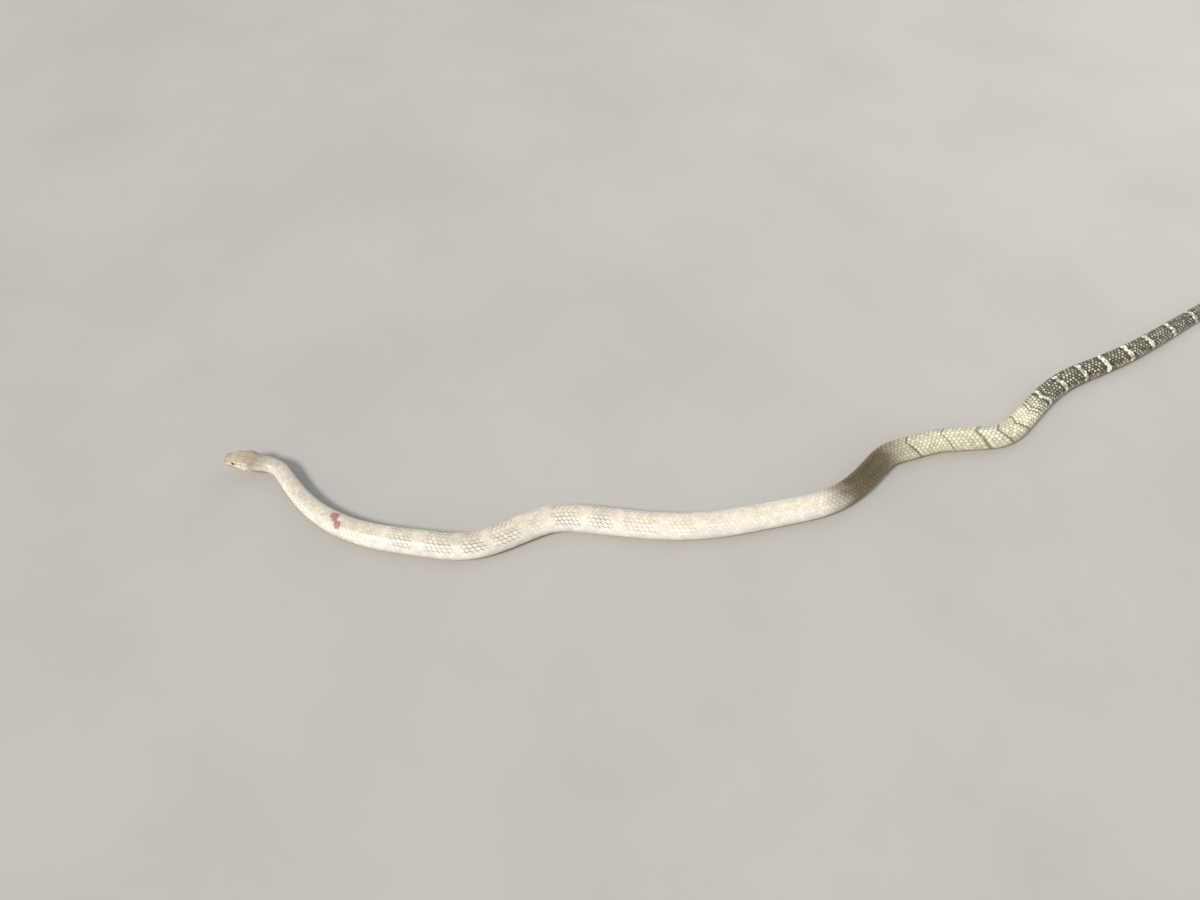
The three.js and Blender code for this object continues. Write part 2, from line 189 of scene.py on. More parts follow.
SIDE_SHIELDS = {
    "front_nasal": [
        (2.9, 0.4), (8.3, 0.395), (8.1, 0.49), (7.1, 0.58), (5.8, 0.66), (5.8, 0.78), (7.3, 0.86),
        (2.5, 0.86), (2.3, 0.7),
    ],
    "rear_nasal": [
        (8.3, 0.395), (10.4, 0.4), (15, 0.56), (15.2, 0.7), (14.6, 0.86), (9.9, 0.86), (10.6, 0.8),
        (11.3, 0.7), (10.5, 0.58), (8.5, 0.49),
    ],
    "before_eye": [
        (15, 0.56), (20.9, 0.45), (26.6, 0.585), (26.9, 0.72), (27.4, 0.84), (24, 0.87), (14.6, 0.86),
        (15.2, 0.7),
    ],
    "behind_eye_1": [(36.2, 0.585), (42.2, 0.44), (41.6, 0.56), (41.9, 0.67), (35.5, 0.685), (34.9, 0.62)],
    "behind_eye_2": [(35.5, 0.685), (41.9, 0.67), (41.7, 0.785), (35.5, 0.79)],
    "behind_eye_3": [(35.5, 0.79), (41.7, 0.785), (41.4, 0.885), (36.6, 0.895), (34.2, 0.87)],
    "temple_1": [(42.2, 0.44), (53, 0.45), (54.8, 0.56), (53.2, 0.67), (41.9, 0.67), (41.6, 0.56)],
    "temple_2": [(41.9, 0.67), (53.2, 0.67), (54.8, 0.77), (53, 0.875), (41.4, 0.885), (41.7, 0.785)],
    "temple_3": [(53, 0.45), (60.6, 0.33), (66, 0.42), (65.2, 0.56), (54.8, 0.56)],
    "temple_4": [(54.8, 0.56), (65.2, 0.56), (67.8, 0.66), (66, 0.75), (54.8, 0.77), (53.2, 0.67)],
    "temple_5": [(54.8, 0.77), (66, 0.75), (69, 0.82), (67.6, 0.875), (53, 0.875)],
}
UPPER_LIP = [
    (2.5, 0.86), (9.4, 0.86), (16.8, 0.865), (28.4, 0.875), (36.6, 0.895), (46, 0.88), (56, 0.875),
    (67.6, 0.875),
]
LOWER_LIP = [
    (2.6, 1.17), (9.2, 1.17), (16.4, 1.21), (24.6, 1.25), (34.6, 1.25), (43.6, 1.21), (51.6, 1.19),
    (59, 1.18), (66, 1.17),
]
CHIN_SHIELDS = {
    "front_chin": [(6, 2), (4.2, 1.6), (7, 1.42), (20, 1.4), (26, 1.6), (27, 2)],
    "rear_chin": [(27, 2), (26, 1.6), (31, 1.5), (41, 1.56), (47, 1.78), (47.5, 2)],
}
# The two shields at the very front, as shares of the snout's half width and height from its tip
ROSTRAL = [(-0.6, 0.01), (0.6, 0.01), (0.66, 0.22), (0.45, 0.62), (0, 0.79), (-0.45, 0.62), (-0.66, 0.22)]
MENTAL = [
    (-0.6, -0.01), (-0.66, -0.24), (-0.34, -0.72), (0, -0.9), (0.34, -0.72), (0.66, -0.24),
    (0.6, -0.01),
]
# The rings of a shield from its root to its dome: drawn in by so many millimetres, but not below this share
# of the way out, height in rises and in millimetres, and how dark the ring is
SHIELD_RINGS = np.array(
    [
        (0.16, 0.93, 0, -1, 0.975), (0.09, 0.96, 0, -0.3, 0.975), (0.26, 0.86, 0.5, 0, 0.5625),
        (0.62, 0.72, 0.9, 0, 0.15), (1.4, 0.56, 1, 0, 0), (math.inf, 0.3, 1.05, 0, 0),
    ]
)
SHIELD_ROUNDING = 0.75
SHIELD_MAP_END = 96  # how far back the shields' part of the bake map reaches
SHIELD_MEASURE, FRONT_MEASURE = (1, 29), (12, 11)  # millimetres for one unit of a shield's corners

# What a user would change


def linear(*channels):
    """A colour of 0 to 255 a channel as Blender's linear one."""
    return tuple(c / 255 / 12.92 if c < 11 else ((c / 255 + 0.055) / 1.055) ** 2.4 for c in channels)


def number(name, description, default, **kind):
    """A setting that is a number."""
    return bpy.props.FloatProperty(name=name, description=description, default=default, **kind)


def length(name, description, default):
    """A setting in metres."""
    return number(name, description, default, unit="LENGTH", precision=5)


def colour(name, description, *default):
    """A setting for a colour, given as 0 to 255 a channel."""
    return bpy.props.FloatVectorProperty(
        name=name, description=description, default=linear(*default), subtype="COLOR", size=3, min=0, max=1
    )


class CobraSkin(bpy.types.PropertyGroup):
    """Skin, shields and mouth"""

    gape: number("Gape", "How far the lower jaw is dropped", math.radians(12), subtype="ANGLE")
    depth: length("Coat depth", "How deep the skin lies under the tips of the scales", 0.00125)
    smoothness: number("Smoothness", "Share of the coat's depth left out in front", 0.5, min=0, max=0.8)
    face_depth: length("Face depth", "How deep the skin lies under the shields of the head", 0.0005)
    shield_rise: length("Shield rise", "How high the shields of the head stand over its outline", 0.00038)
    palate: length("Palate", "How far the roof of the mouth is arched", 0.0048)


class CobraScales(bpy.types.PropertyGroup):
    """Scales of the back and flanks"""

    reach: number("Reach", "Half a scale's length, as a share of its step along the row", 0.98)
    breadth: number("Breadth", "Half a scale's width, as a share of the row's width", 0.63)
    corners: bpy.props.IntProperty(name="Corners", description="Points round each scale", default=12)


class CobraColours(bpy.types.PropertyGroup):
    """Colours of the animal and the floor"""

    crown: colour("Crown", "Top of the head", 178, 163, 137)
    face: colour("Face", "Lips and cheeks", 222, 210, 184)
    back: colour("Back", "Ridge of the front half", 213, 203, 180)
    flank: colour("Flank", "Sides of the front half", 235, 230, 215)
    # The brown stretch at the middle is partly the animal's own colour and partly painted shade: it is
    # darkened as if a shadow lay on it
    olive_and_shade: colour("Olive", "Short stretch of olive brown at the middle", 100, 86, 50)
    sage: colour("Sage", "Back behind the middle", 213, 207, 175)
    charcoal: colour("Charcoal", "Middles of the dark scales of the rear third", 170, 163, 134)
    ring: colour("Ring", "Pale rings of the rear third", 238, 232, 200)
    belly: colour("Belly", "Scutes of the belly", 240, 229, 198)
    mouth: colour("Mouth", "Lining of the mouth", 214, 160, 148)
    graze: colour("Graze", "The small raw graze behind the neck", 136, 54, 54)
    iris: colour("Iris", "Ring round the pupil", 104, 74, 34)
    floor: colour("Floor", "Pale floor of the stage", 178, 174, 166)


class CobraStage(bpy.types.PropertyGroup):
    """Camera and lights"""

    distance: length("Distance", "From the camera to the middle of its view", 2.64)
    elevation: number("Elevation", "How steeply the camera looks down", math.radians(52), subtype="ANGLE")
    middle: bpy.props.FloatVectorProperty(
        name="Middle", description="Where it looks", default=(-0.7592, -0.1283, 0), subtype="TRANSLATION"
    )
    lens: number("Lens", "Focal length in millimetres", 29.1)
    key: number("Key light", "Strength of the main light, in W/m2", 2.9)
    fill: number("Fill light", "Power of the second light", 28, unit="POWER")


# The shape of the animal


def smoothstep(share):
    """3 s^2 - 2 s^3, with s held between 0 and 1."""
    share = np.clip(share, 0, 1)
    return share * share * (3 - 2 * share)


def window(at, low, high, soft):
    """1 between two bounds and 0 outside them, with soft edges."""
    return smoothstep((at - low) / soft + 0.5) * smoothstep((high - at) / soft + 0.5)


def bell(value, middle, spread):
    """e to the minus square of the distance from the middle, in spreads: 1 there, and 0 far away."""
    return np.exp(-(((value - middle) / spread) ** 2))


def between(table, at, column):
    """A table's column at any place: between two rows a cubic whose slope at each row is that of the line
    through its two neighbours."""
    places, values = table[:, 0], table[:, column]
    last = len(places) - 1
    rows = np.arange(last + 1)
    low, high = np.maximum(rows - 1, 0), np.minimum(rows + 1, last)
    slope = (values[high] - values[low]) / (places[high] - places[low])
    at = np.clip(at, places[0], places[-1])
    i = np.clip(np.searchsorted(places, at, side="right") - 1, 0, last - 1)
    span = places[i + 1] - places[i]
    t = (at - places[i]) / span
    rise, sway = t * t * (3 - 2 * t), t * (1 - t) * ((1 - t) * slope[i] - t * slope[i + 1])
    return values[i] * (1 - rise) + values[i + 1] * rise + span * sway


def heading_at(behind):
    """The sum of the bends, each turned in so far by a smoothstep over its length."""
    start, long, turn = BENDS.T
    turned = (turn * smoothstep((np.asarray(behind)[..., None] - start) / long)).sum(-1)
    return np.radians(FIRST_HEADING + turned)


STEPS = np.arange(TOTAL_LENGTH + 1)
COURSE = np.stack(
    [
        at + np.concatenate([[0], np.cumsum(walk(heading_at(STEPS[:-1] + 0.5)))])
        for at, walk in zip(SNOUT, (np.cos, np.sin))
    ]
)


def placed(local):
    """[behind, side, up] in millimetres as points of the frame in metres: the course's point, moved sideways
    across its heading, and lifted where the neck rises."""
    behind, side, up = np.moveaxis(local, -1, 0)
    heading = heading_at(behind)
    past = behind - np.clip(behind, 0, TOTAL_LENGTH)
    x = np.interp(behind, STEPS, COURSE[0]) + past * np.cos(heading) + side * np.sin(heading)
    y = np.interp(behind, STEPS, COURSE[1]) + past * np.sin(heading) - side * np.cos(heading)
    return np.stack([x, y, up + LIFT * smoothstep(1 - behind / LIFT_LENGTH)], -1) / 1000


def squared(value, power):
    """|value|^power with value's sign, which squares a round outline."""
    return np.sign(value) * np.abs(value) ** power


def blunt(distance, rounding):
    """A quarter circle from 0 at a tip to 1 where its rounding ends."""
    return np.sqrt(1 - (1 - np.clip(distance / rounding, 0, 1)) ** 2)


def body_outline(behind, angle):
    """Side and up of the body's outline: half the width times the sine to the power 0.9, and the waist plus a
    reach times the cosine, cut off level at the floor. Both shrink to nothing round the tip of the tail."""
    end = blunt(TOTAL_LENGTH - behind, TIP_ROUNDING)
    width, height = between(GIRTH, behind, 1) * end, between(GIRTH, behind, 2)
    waist = WAIST * height
    reach = np.where(np.cos(angle) > 0, height - waist, -waist / math.cos(FLAT_ANGLE))
    up = waist + end * reach * np.cos(angle)
    return width / 2 * squared(np.sin(angle), BODY_SQUARENESS), np.maximum(up, 0)


def outline(behind, angle):
    """Side and up of the animal's outline. The head is a squared ellipse with soft swellings for brow, cheek
    and lip, and turns into the body's outline behind the jaws."""
    nose = blunt(behind, SNOUT_ROUNDING)
    swell = sum(
        high * bell(behind, at, reach) * bell(np.abs(angle), math.radians(turn), math.radians(wide))
        for at, reach, turn, wide, high in SWELLINGS
    )
    above = np.cos(angle) > 0
    reach = np.where(above, between(HEAD, behind, 2), between(HEAD, behind, 3))
    power = np.where(above, CROWN_SQUARENESS, THROAT_SQUARENESS)
    side = nose * (between(HEAD, behind, 1) * squared(np.sin(angle), power) + swell * np.sin(angle))
    up = LIPS_UP + nose * (reach * squared(np.cos(angle), power) + swell * np.cos(angle))
    into = smoothstep((behind - NECK_BLEND) / (HEAD_LENGTH - NECK_BLEND))
    body = body_outline(np.maximum(behind, HEAD_LENGTH), angle)
    return side * (1 - into) + body[0] * into, up * (1 - into) + body[1] * into


def lip_angle(behind):
    """The angle at which the outline crosses the line of the lips, which sags like a half sine."""
    sag = LIP_SAG * np.sin(math.pi * np.clip(behind, 0, MOUTH_CORNER) / MOUTH_CORNER)
    reach = between(HEAD, behind, 3) * np.maximum(blunt(behind, SNOUT_ROUNDING), 0.02)
    return math.pi / 2 + np.arcsin(np.clip(sag / reach, 0, 1) ** (1 / THROAT_SQUARENESS))


def angle_of(behind, around):
    """The angle for a place round the body, where 1 is the line of the lips and 2 the middle below."""
    lip, share = lip_angle(behind), np.abs(around)
    return np.sign(around) * np.where(share < 1, share * lip, lip + (share - 1) * (math.pi - lip))


def dropped(local, around):
    """The lower jaw's turn about the corner of the mouth. It fades behind the corner, first at the lips."""
    behind = local[..., 0]
    past, below = (behind - MOUTH_CORNER) / JAW_FADE, (np.abs(around) - 1) / LIP_FADE
    turn = bpy.context.scene.cobra_skin.gape * smoothstep((1 - past) / 2)
    turn = turn * (1 - smoothstep(past) * (1 - smoothstep(below)))
    back, up = behind - MOUTH_CORNER, local[..., 2] - LIPS_UP
    turned_back = MOUTH_CORNER + back * np.cos(turn) - up * np.sin(turn)
    turned_up = LIPS_UP + back * np.sin(turn) + up * np.cos(turn)
    return np.stack([turned_back, local[..., 1], turned_up], -1)


NORMAL_STEP, NORMAL_TURN = 0.3, 0.02  # how far apart the points are that a normal is worked out from
ENDS = 0.01  # how close to the tips of snout and tail they come


def on_outline(behind, angle, rise, jaw=False):
    """A point of the outline, moved out by rise along its normal: the cross product of the steps along and
    round the surface. What belongs to the jaw turns with it."""
    behind, angle, rise, jaw = np.broadcast_arrays(behind, angle, rise, jaw)
    lip = lip_angle(behind)
    around = 1 + (np.abs(np.arctan2(np.sin(angle), np.cos(angle))) - lip) / (math.pi - lip)

    def point(at, turn):
        """The outline's point at a place and an angle, dropped with the jaw where it belongs to it."""
        local = np.stack([at, *outline(at, turn)], -1)
        return np.where(jaw[..., None], dropped(local, around), local)

    ahead = np.maximum(behind - NORMAL_STEP, ENDS)
    back = np.minimum(behind + NORMAL_STEP, TOTAL_LENGTH - ENDS)
    across = point(behind, angle + NORMAL_TURN) - point(behind, angle - NORMAL_TURN)
    normal = np.cross(point(back, angle) - point(ahead, angle), across)
    normal /= np.maximum(np.linalg.norm(normal, axis=-1, keepdims=True), 1e-9)
    return point(behind, angle) + rise[..., None] * normal


def coat_depth(behind):
    """How far the skin lies inside the outline: the face's depth, then the coat's, less along the smooth pale
    stretch and on a thin tail."""
    skin = bpy.context.scene.cobra_skin
    face, coat = 1000 * skin.face_depth, 1000 * skin.depth
    thin = np.minimum(between(GIRTH, behind, 1) / THIN_WIDTH, 1)
    thin = thin * (1 - skin.smoothness * window(behind, *SMOOTH_STRETCH))
    return (face + (coat - face) * smoothstep((behind - COAT_STARTS) / COAT_DEEPENS)) * thin


def from_face(behind, angle):
    """How far a place lies from the middle of the nostril, in nostrils, and of the eye, in millimetres."""
    up = outline(behind, angle)[1]
    nostril = np.hypot((behind - NOSTRIL_BEHIND) / NOSTRIL_LONG, (up - NOSTRIL_UP) / NOSTRIL_TALL)
    return nostril, np.hypot(behind - EYE_BEHIND, up - EYE_UP)


def features(behind, angle):
    """Rise and fall of the face round nostril and eye: a bell-shaped pit in a low ring, and a rim round a
    shallow hollow."""
    nostril, eye = from_face(behind, angle)
    pit = NOSTRIL_RING * bell(nostril, 1.5, 0.35) - NOSTRIL_DEPTH * np.exp(-(nostril**3))
    rim = SOCKET_RIM * bell(eye, 4.5, 0.7) - SOCKET_DEPTH * smoothstep((4.1 - eye) / 1.2)
    return np.where(behind < FACE_END, pit + rim, 0)


def shadowed(behind, angle):
    """Painted shade in the inside of a nostril and at the edge of the eye's opening."""
    nostril, eye = from_face(behind, angle)
    dark = np.maximum(smoothstep((1.05 - nostril) / 0.4), smoothstep((4.2 - eye) / 0.6))
    return np.where(behind < FACE_END, dark, 0)


# Distances round the body, so that rows of scales keep their width

COAT_FROM = PITCH[0, 0]
ROUND_SHARES = np.linspace(0, 1, 97)
ROUND_PLACES = np.linspace(COAT_FROM, TOTAL_LENGTH, 1500)


def distances_round():
    """For each place along the body, the length of its outline from the ridge to the middle of the belly, and
    the angle at each share of that length."""
    angles = np.linspace(0, math.pi, 181)
    side, up = outline(ROUND_PLACES[:, None], angles[None])
    run = np.pad(np.cumsum(np.hypot(np.diff(side), np.diff(up)), 1), ((0, 0), (1, 0)))
    whole = np.maximum(run[:, -1], 1e-6)
    return whole, np.stack([np.interp(ROUND_SHARES, r / w, angles) for r, w in zip(run, whole)])


HALF_ROUND, ROUND_ANGLES = distances_round()


def half_round(behind):
    """The length of the outline from the ridge to the middle of the belly."""
    return np.interp(behind, ROUND_PLACES, HALF_ROUND)


def angle_at(behind, arc):
    """The angle that lies so far round from the ridge, read off the table above in both directions."""
    i = np.clip((behind - COAT_FROM) / (ROUND_PLACES[1] - COAT_FROM), 0, len(ROUND_PLACES) - 1.001)
    k = np.clip(np.abs(arc) / half_round(behind), 0, 1) * (len(ROUND_SHARES) - 1.001)
    row, col = i.astype(int), k.astype(int)
    u, v = i - row, k - col
    low = ROUND_ANGLES[row, col] * (1 - v) + ROUND_ANGLES[row, col + 1] * v
    high = ROUND_ANGLES[row + 1, col] * (1 - v) + ROUND_ANGLES[row + 1, col + 1] * v
    return np.sign(arc) * (low * (1 - u) + high * u)


def row_width(behind):
    """How wide one row of scales is."""
    return 2 * BACK_SHARE * half_round(behind) / between(ROWS, behind, 1)


COUNT_AT = np.linspace(COAT_FROM, TOTAL_LENGTH, 4000)
COUNTED = np.concatenate([[0], np.cumsum(np.diff(COUNT_AT) / between(PITCH, COUNT_AT[:-1], 1))])
ALL_STEPS = np.arange(int(COUNTED[-1]) - 1)


def station(count):
    """How far behind the snout the nth step between scales lies, found from the sum of 1/pitch."""
    return np.interp(count, COUNTED, COUNT_AT)


def marks(behind, row):
    """The nearest pale ring's paleness and the darkness of its edges, how many steps a place lies outside it,
    and how strongly the scales there are hatched. Each is read where a line that leans back down the flank
    would cross the ridge."""
    step = between(PITCH, behind, 1)
    lean = LEAN + (SLANT - LEAN) * window(behind, *SLANTED_STRETCH)
    ridge = behind - lean * step * np.abs(row)
    nearest = np.abs(ridge[..., None] - RINGS[:, 0]).argmin(-1)
    place, half, pale, ink = np.moveaxis(RINGS[nearest], -1, 0)
    start, end, strength = HATCHED.T
    hatch = (strength * window(ridge[..., None], start, end, HATCH_SOFTNESS)).sum(-1)
    return {"pale": pale, "ink": ink, "beside": (np.abs(ridge - place) - half) / step, "hatch": hatch}


# Meshes


def put(name, data):
    """A new object in the scene."""
    thing = bpy.data.objects.new(name, data)
    bpy.context.scene.collection.objects.link(thing)
    return thing


class Surface:
    """Points, faces and the values they carry, gathered sheet by sheet into one mesh. Each face has its own
    corners on the bake map."""

    def __init__(self):
        self.points, self.faces, self.maps, self.smooth, self.values = [], [], [], [], {}
        self.count = 0

    def add_points(self, local, **values):
        """Takes points as [behind, side, up] with what they carry, and returns their numbers in the same
        layout."""
        shape = local.shape[:-1]
        self.points.append(placed(local).reshape(-1, 3))
        for name, value in values.items():
            self.values.setdefault(name, []).append(np.broadcast_to(value, shape).ravel())
        first, self.count = self.count, self.count + int(np.prod(shape))
        return np.arange(first, self.count).reshape(shape)

    def add_faces(self, faces, maps, smooth=True):
        """Takes faces as point numbers with their corners' places on the bake map. Faces that aren't smooth
        leave a crisp edge where they meet the others."""
        self.faces.append(faces.reshape(-1, faces.shape[-1]))
        self.smooth.append(np.full(len(self.faces[-1]), smooth))
        self.maps.append(np.broadcast_to(maps, faces.shape + (2,)).reshape(-1, faces.shape[-1], 2))

    def sheet(self, grid, maps):
        """Faces between the neighbours of a grid of point numbers, with the grid's places on the bake map."""
        corner = [(slice(None, -1), slice(None, -1)), (slice(1, None), slice(None, -1))]
        corner += [(slice(1, None), slice(1, None)), (slice(None, -1), slice(1, None))]
        self.add_faces(np.stack([grid[c] for c in corner], -1), np.stack([maps[c] for c in corner], -2))

    def cap(self, ring, hub, rim_map, hub_map):
        """Triangles from each edge of a ring, whose last point is its first, to one point."""
        faces = np.stack([ring[:-1], ring[1:], np.full(len(ring) - 1, hub)], -1)
        hub_maps = np.broadcast_to(hub_map, (len(faces), 2))
        self.add_faces(faces, np.stack([rim_map[:-1], rim_map[1:], hub_maps], -2))

    def fan(self, ring, hub, spot):
        """A cap in a small round spot of the bake map, for a ring that names its first point only once."""
        turn = 2 * math.pi * np.arange(len(ring) + 1) / len(ring)
        rim_map = spot[:2] + spot[2] * np.stack([np.cos(turn), np.sin(turn)], -1)
        self.cap(np.append(ring, ring[0]), hub, rim_map, spot[:2])

    def turn_over(self):
        """Reverses the corners of every face so far, so that it looks the other way."""
        self.faces, self.maps = [f[:, ::-1] for f in self.faces], [m[:, ::-1] for m in self.maps]

    def piece(self, name, material):
        """The whole as an object that rides with the body."""
        points = np.concatenate(self.points)
        sides = np.concatenate([np.full(len(f), f.shape[1]) for f in self.faces])
        corners = np.concatenate([f.ravel() for f in self.faces])
        mesh = bpy.data.meshes.new(name)
        mesh.vertices.add(len(points))
        mesh.vertices.foreach_set("co", points.ravel())
        mesh.loops.add(len(corners))
        mesh.loops.foreach_set("vertex_index", corners)
        mesh.polygons.add(len(sides))
        mesh.polygons.foreach_set("loop_start", np.concatenate([[0], np.cumsum(sides)[:-1]]))
        mesh.polygons.foreach_set("use_smooth", np.concatenate(self.smooth))
        for key, parts in self.values.items():
            values = np.concatenate(parts).astype(np.float32)
            mesh.attributes.new(key, "FLOAT", "POINT").data.foreach_set("value", values)
        spots = np.concatenate([m.ravel() for m in self.maps]).astype(np.float32)
        mesh.uv_layers.new(name="OFBake").uv.foreach_set("vector", spots)
        mesh.update(calc_edges=True)
        edges, bent = np.zeros(len(corners), np.int32), np.repeat(np.concatenate(self.smooth), sides)
        mesh.loops.foreach_get("edge_index", edges)
        numbers = np.arange(len(mesh.edges))
        crisp = np.isin(numbers, edges[bent]) & np.isin(numbers, edges[~bent])
        mesh.attributes.new("sharp_edge", "BOOLEAN", "EDGE").data.foreach_set("value", crisp)
        mesh.validate()
        mesh.materials.append(material)
        thing = put(name, mesh)
        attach(thing, "root")
        return thing


def closed(rings):
    """Rings with the first point of each again at its end."""
    return np.concatenate([rings, rings[:, :1]], 1)


def boxed(u, v, box):
    """Shares of a box on the bake map as places on it."""
    left, bottom, right, top = box
    return np.stack(np.broadcast_arrays(left + (right - left) * u, bottom + (top - bottom) * v), -1)


# Where each part lies on its piece's bake map: left, bottom, right and top, or the middle of a round spot and
# its radius
HEAD_BOX = (0.005, 0.445, 0.4, 0.995)
SHIELD_BOX = (0.41, 0.445, 0.995, 0.995)
ROSTRAL_BOX = (0.94, 0.5, 0.99, 0.6)
MENTAL_BOX = (0.94, 0.62, 0.99, 0.72)
KNIT_BOX = (0.005, 0.428, 0.4, 0.442)
MOUTH_BOX = (0.005, 0.33, 0.74, 0.422)
THROAT_BOX = (0.75, 0.34, 0.895, 0.43)
ROOT_BOX = (0.9, 0.31, 0.995, 0.43)
RIM_BOX = (0.005, 0.304, 0.74, 0.327)
BODY_BOX = (0.005, 0.005, 0.995, 0.3)
SNOUT_SPOTS, TAIL_SPOT = ((0.76, 0.32, 0.008), (0.78, 0.32, 0.008)), (0.82, 0.32, 0.008)
BODY_STRIPS, SCALE_STRIPS, SCUTE_STRIPS = 5, 10, 8
CELL_FILL = (0.96, 0.97)  # how much of its cell a scale's patch fills
# The patches of a scale's upper face, wall and underside: half width, half height, height of the middle
TOP_PATCH, WALL_PATCH, BASE_PATCH = (0.47, 0.37, 0.6), (0.47, 0.08, 0.1), (0.4, 0.06, 0.1)


def strip_cells(step, strips, low, high):
    """The bake map's cells for steps along the body, which runs over the map in so many strips, one above the
    other: left, bottom, width and height. Low and high say what part of its strip's height a cell takes."""
    count = len(ALL_STEPS) + 1
    spot = step / count * strips
    strip = spot.astype(int)
    left, bottom = 0.003 + 0.97 * (spot - strip), 0.002 + 0.994 * (strip + low) / strips
    return left, bottom, 0.97 * strips / count, 0.994 * high / strips


CROWN_LOWEST, CROWN_SOFT = 0.95, 0.5  # where the crown's colour ends round the head, and how softly
CROWN_LAST, CROWN_FADE = 175, 100  # and the same along the neck


def crown_share(behind, around):
    """How far a place has the crown's colour: all of it above, none at the lips or on the neck."""
    across = smoothstep((CROWN_LOWEST - np.abs(around)) / CROWN_SOFT)
    return across * smoothstep((CROWN_LAST - behind) / CROWN_FADE)


def looks(behind, around, **known):
    """The values that the materials read at a place: marks, how far along and round it is, and whatever the
    piece itself knows."""
    behind, around = np.broadcast_arrays(behind, around)
    row = np.abs(around) / 2 * between(ROWS, behind, 1) / (2 * BACK_SHARE)
    values = {"along": behind / TOTAL_LENGTH, "round": np.abs(around), "crown": crown_share(behind, around)}
    values |= {"tip": 0.5, "rim": 1.0, "upper": 0.0, "chance": 0.5, "inside": 0.0, "shade": 0.0}
    values |= marks(behind, row)
    return values | known


SKIN_SINK = 0.96  # how deep the skin lies under the outline, as a share of the coat's depth
UPPER_STEPS, LOWER_STEPS, LINING_STEPS = 112, 72, 32  # round the upper head, round the jaw, across the mouth
UPPER_ROUND = np.linspace(-1, 1, UPPER_STEPS + 1)
JAW_SIDE = np.linspace(1, 2, LOWER_STEPS // 2 + 1)
LOWER_ROUND = np.concatenate([JAW_SIDE, -JAW_SIDE[-2::-1]])
WHOLE_ROUND = np.concatenate([UPPER_ROUND, LOWER_ROUND[1:-1]])
CLOSE_GRID_END = 122  # where the skin's close grid of the head ends
TAIL_RINGS = TOTAL_LENGTH - np.array([8, 6, 4.2, 2.6, 1.4, 0.6, 0.15])  # closer and closer to the tip
BODY_GRID_FROM, BODY_GRID_END, BODY_RINGS = 124, TOTAL_LENGTH - 11, 300
TIP_GAP, TIP_CLOSENESS = 0.02, 1.8  # how far behind the tip the first ring lies, and how the rings close up
MOUTH_FLOOR, FLOOR_RIDGE = -3.2, 2.0  # how far the floor of the mouth is hollowed, and its low ridge
LINING_DEEPENS, LINING_ENDS = 16, 24  # over what length it deepens at the front, and ends at the back


def skin_ring(behind, around, jaw=False):
    """Points of the skin, a little under the outline, and the values they carry."""
    angle = angle_of(behind, around)
    local = on_outline(behind, angle, features(behind, angle) - SKIN_SINK * coat_depth(behind), jaw)
    return local, looks(behind, around) | {"shade": shadowed(behind, angle)}


def one_of(values, number):
    """The values of a single point."""
    return {name: np.ravel(value)[number] for name, value in values.items()}


def add_lining(surface, lips, behind, hollow, ridge):
    """A curved sheet from lip to lip: the straight line between them, hollowed by sin^0.6, with a low ridge
    in the middle of the floor."""
    share = np.arange(1, LINING_STEPS) / LINING_STEPS
    left, right = lips[:, :1], lips[:, -1:]
    local = left + (right - left) * ((1 - np.cos(math.pi * share)) / 2)[None, :, None]
    deep = smoothstep((behind - 1) / LINING_DEEPENS) * smoothstep((MOUTH_CORNER - behind) / LINING_ENDS)
    local[..., 2] += hollow * deep * np.sin(math.pi * share) ** 0.6
    local[..., 2] += ridge * deep * bell(share, 0.5, 0.09)
    return surface.add_points(local, **looks(behind, 1.0, inside=1.0, hatch=0.0, crown=0.0))


def add_mouth_half(surface, jaw, steps, around, corner, chord, hollow, ridge):
    """The upper head or the lower jaw ahead of the corner of the mouth: rings that grow closer towards the
    snout, the lining between their ends, and a fan that closes both at the tip."""
    along = (np.arange(steps) / steps) ** TIP_CLOSENESS
    behind = (TIP_GAP + (MOUTH_CORNER - TIP_GAP) * along)[:, None]
    local, values = skin_ring(behind, around[None], jaw)
    outer = surface.add_points(local, **values)
    inner = add_lining(surface, local[:, [-1, 0]], behind, hollow, ridge)
    outer_grid = np.vstack([outer, corner[None]])
    share = np.append(behind[:, 0], MOUTH_CORNER)[:, None]
    turn = np.where(around < 0, around + 4 * jaw, around)[None]
    surface.sheet(outer_grid, boxed(share / CLOSE_GRID_END, (turn + 1) / 4, HEAD_BOX))
    inner_grid = np.hstack([outer_grid[:, -1:], np.vstack([inner, chord[None]]), outer_grid[:, :1]])
    place = np.linspace(0, 1, LINING_STEPS + 1)[None]
    surface.sheet(inner_grid, boxed(share / MOUTH_CORNER, 0.5 * jaw + 0.47 * place, MOUTH_BOX))
    tip = surface.add_points(local[0].mean(0), **one_of(values, 0))
    surface.fan(np.concatenate([outer[0], inner[0]]), tip, SNOUT_SPOTS[jaw])


def add_knit(surface, close, wide):
    """Triangles that join a ring to one of half as many points."""
    fine, middle, after = close[::2], close[1::2], np.roll(wide, -1)
    lanes = [(wide, middle, fine), (after, np.roll(fine, -1), middle), (wide, after, middle)]
    cell = np.arange(len(wide)) / len(wide)
    corners = ((0, 0), (0.003, 0.8), (0.006, 0))
    for lane, faces in enumerate(lanes):
        spots = [boxed(cell + along, (lane + up) / len(lanes), KNIT_BOX) for along, up in corners]
        surface.add_faces(np.stack(faces, -1), np.stack(spots, -2))


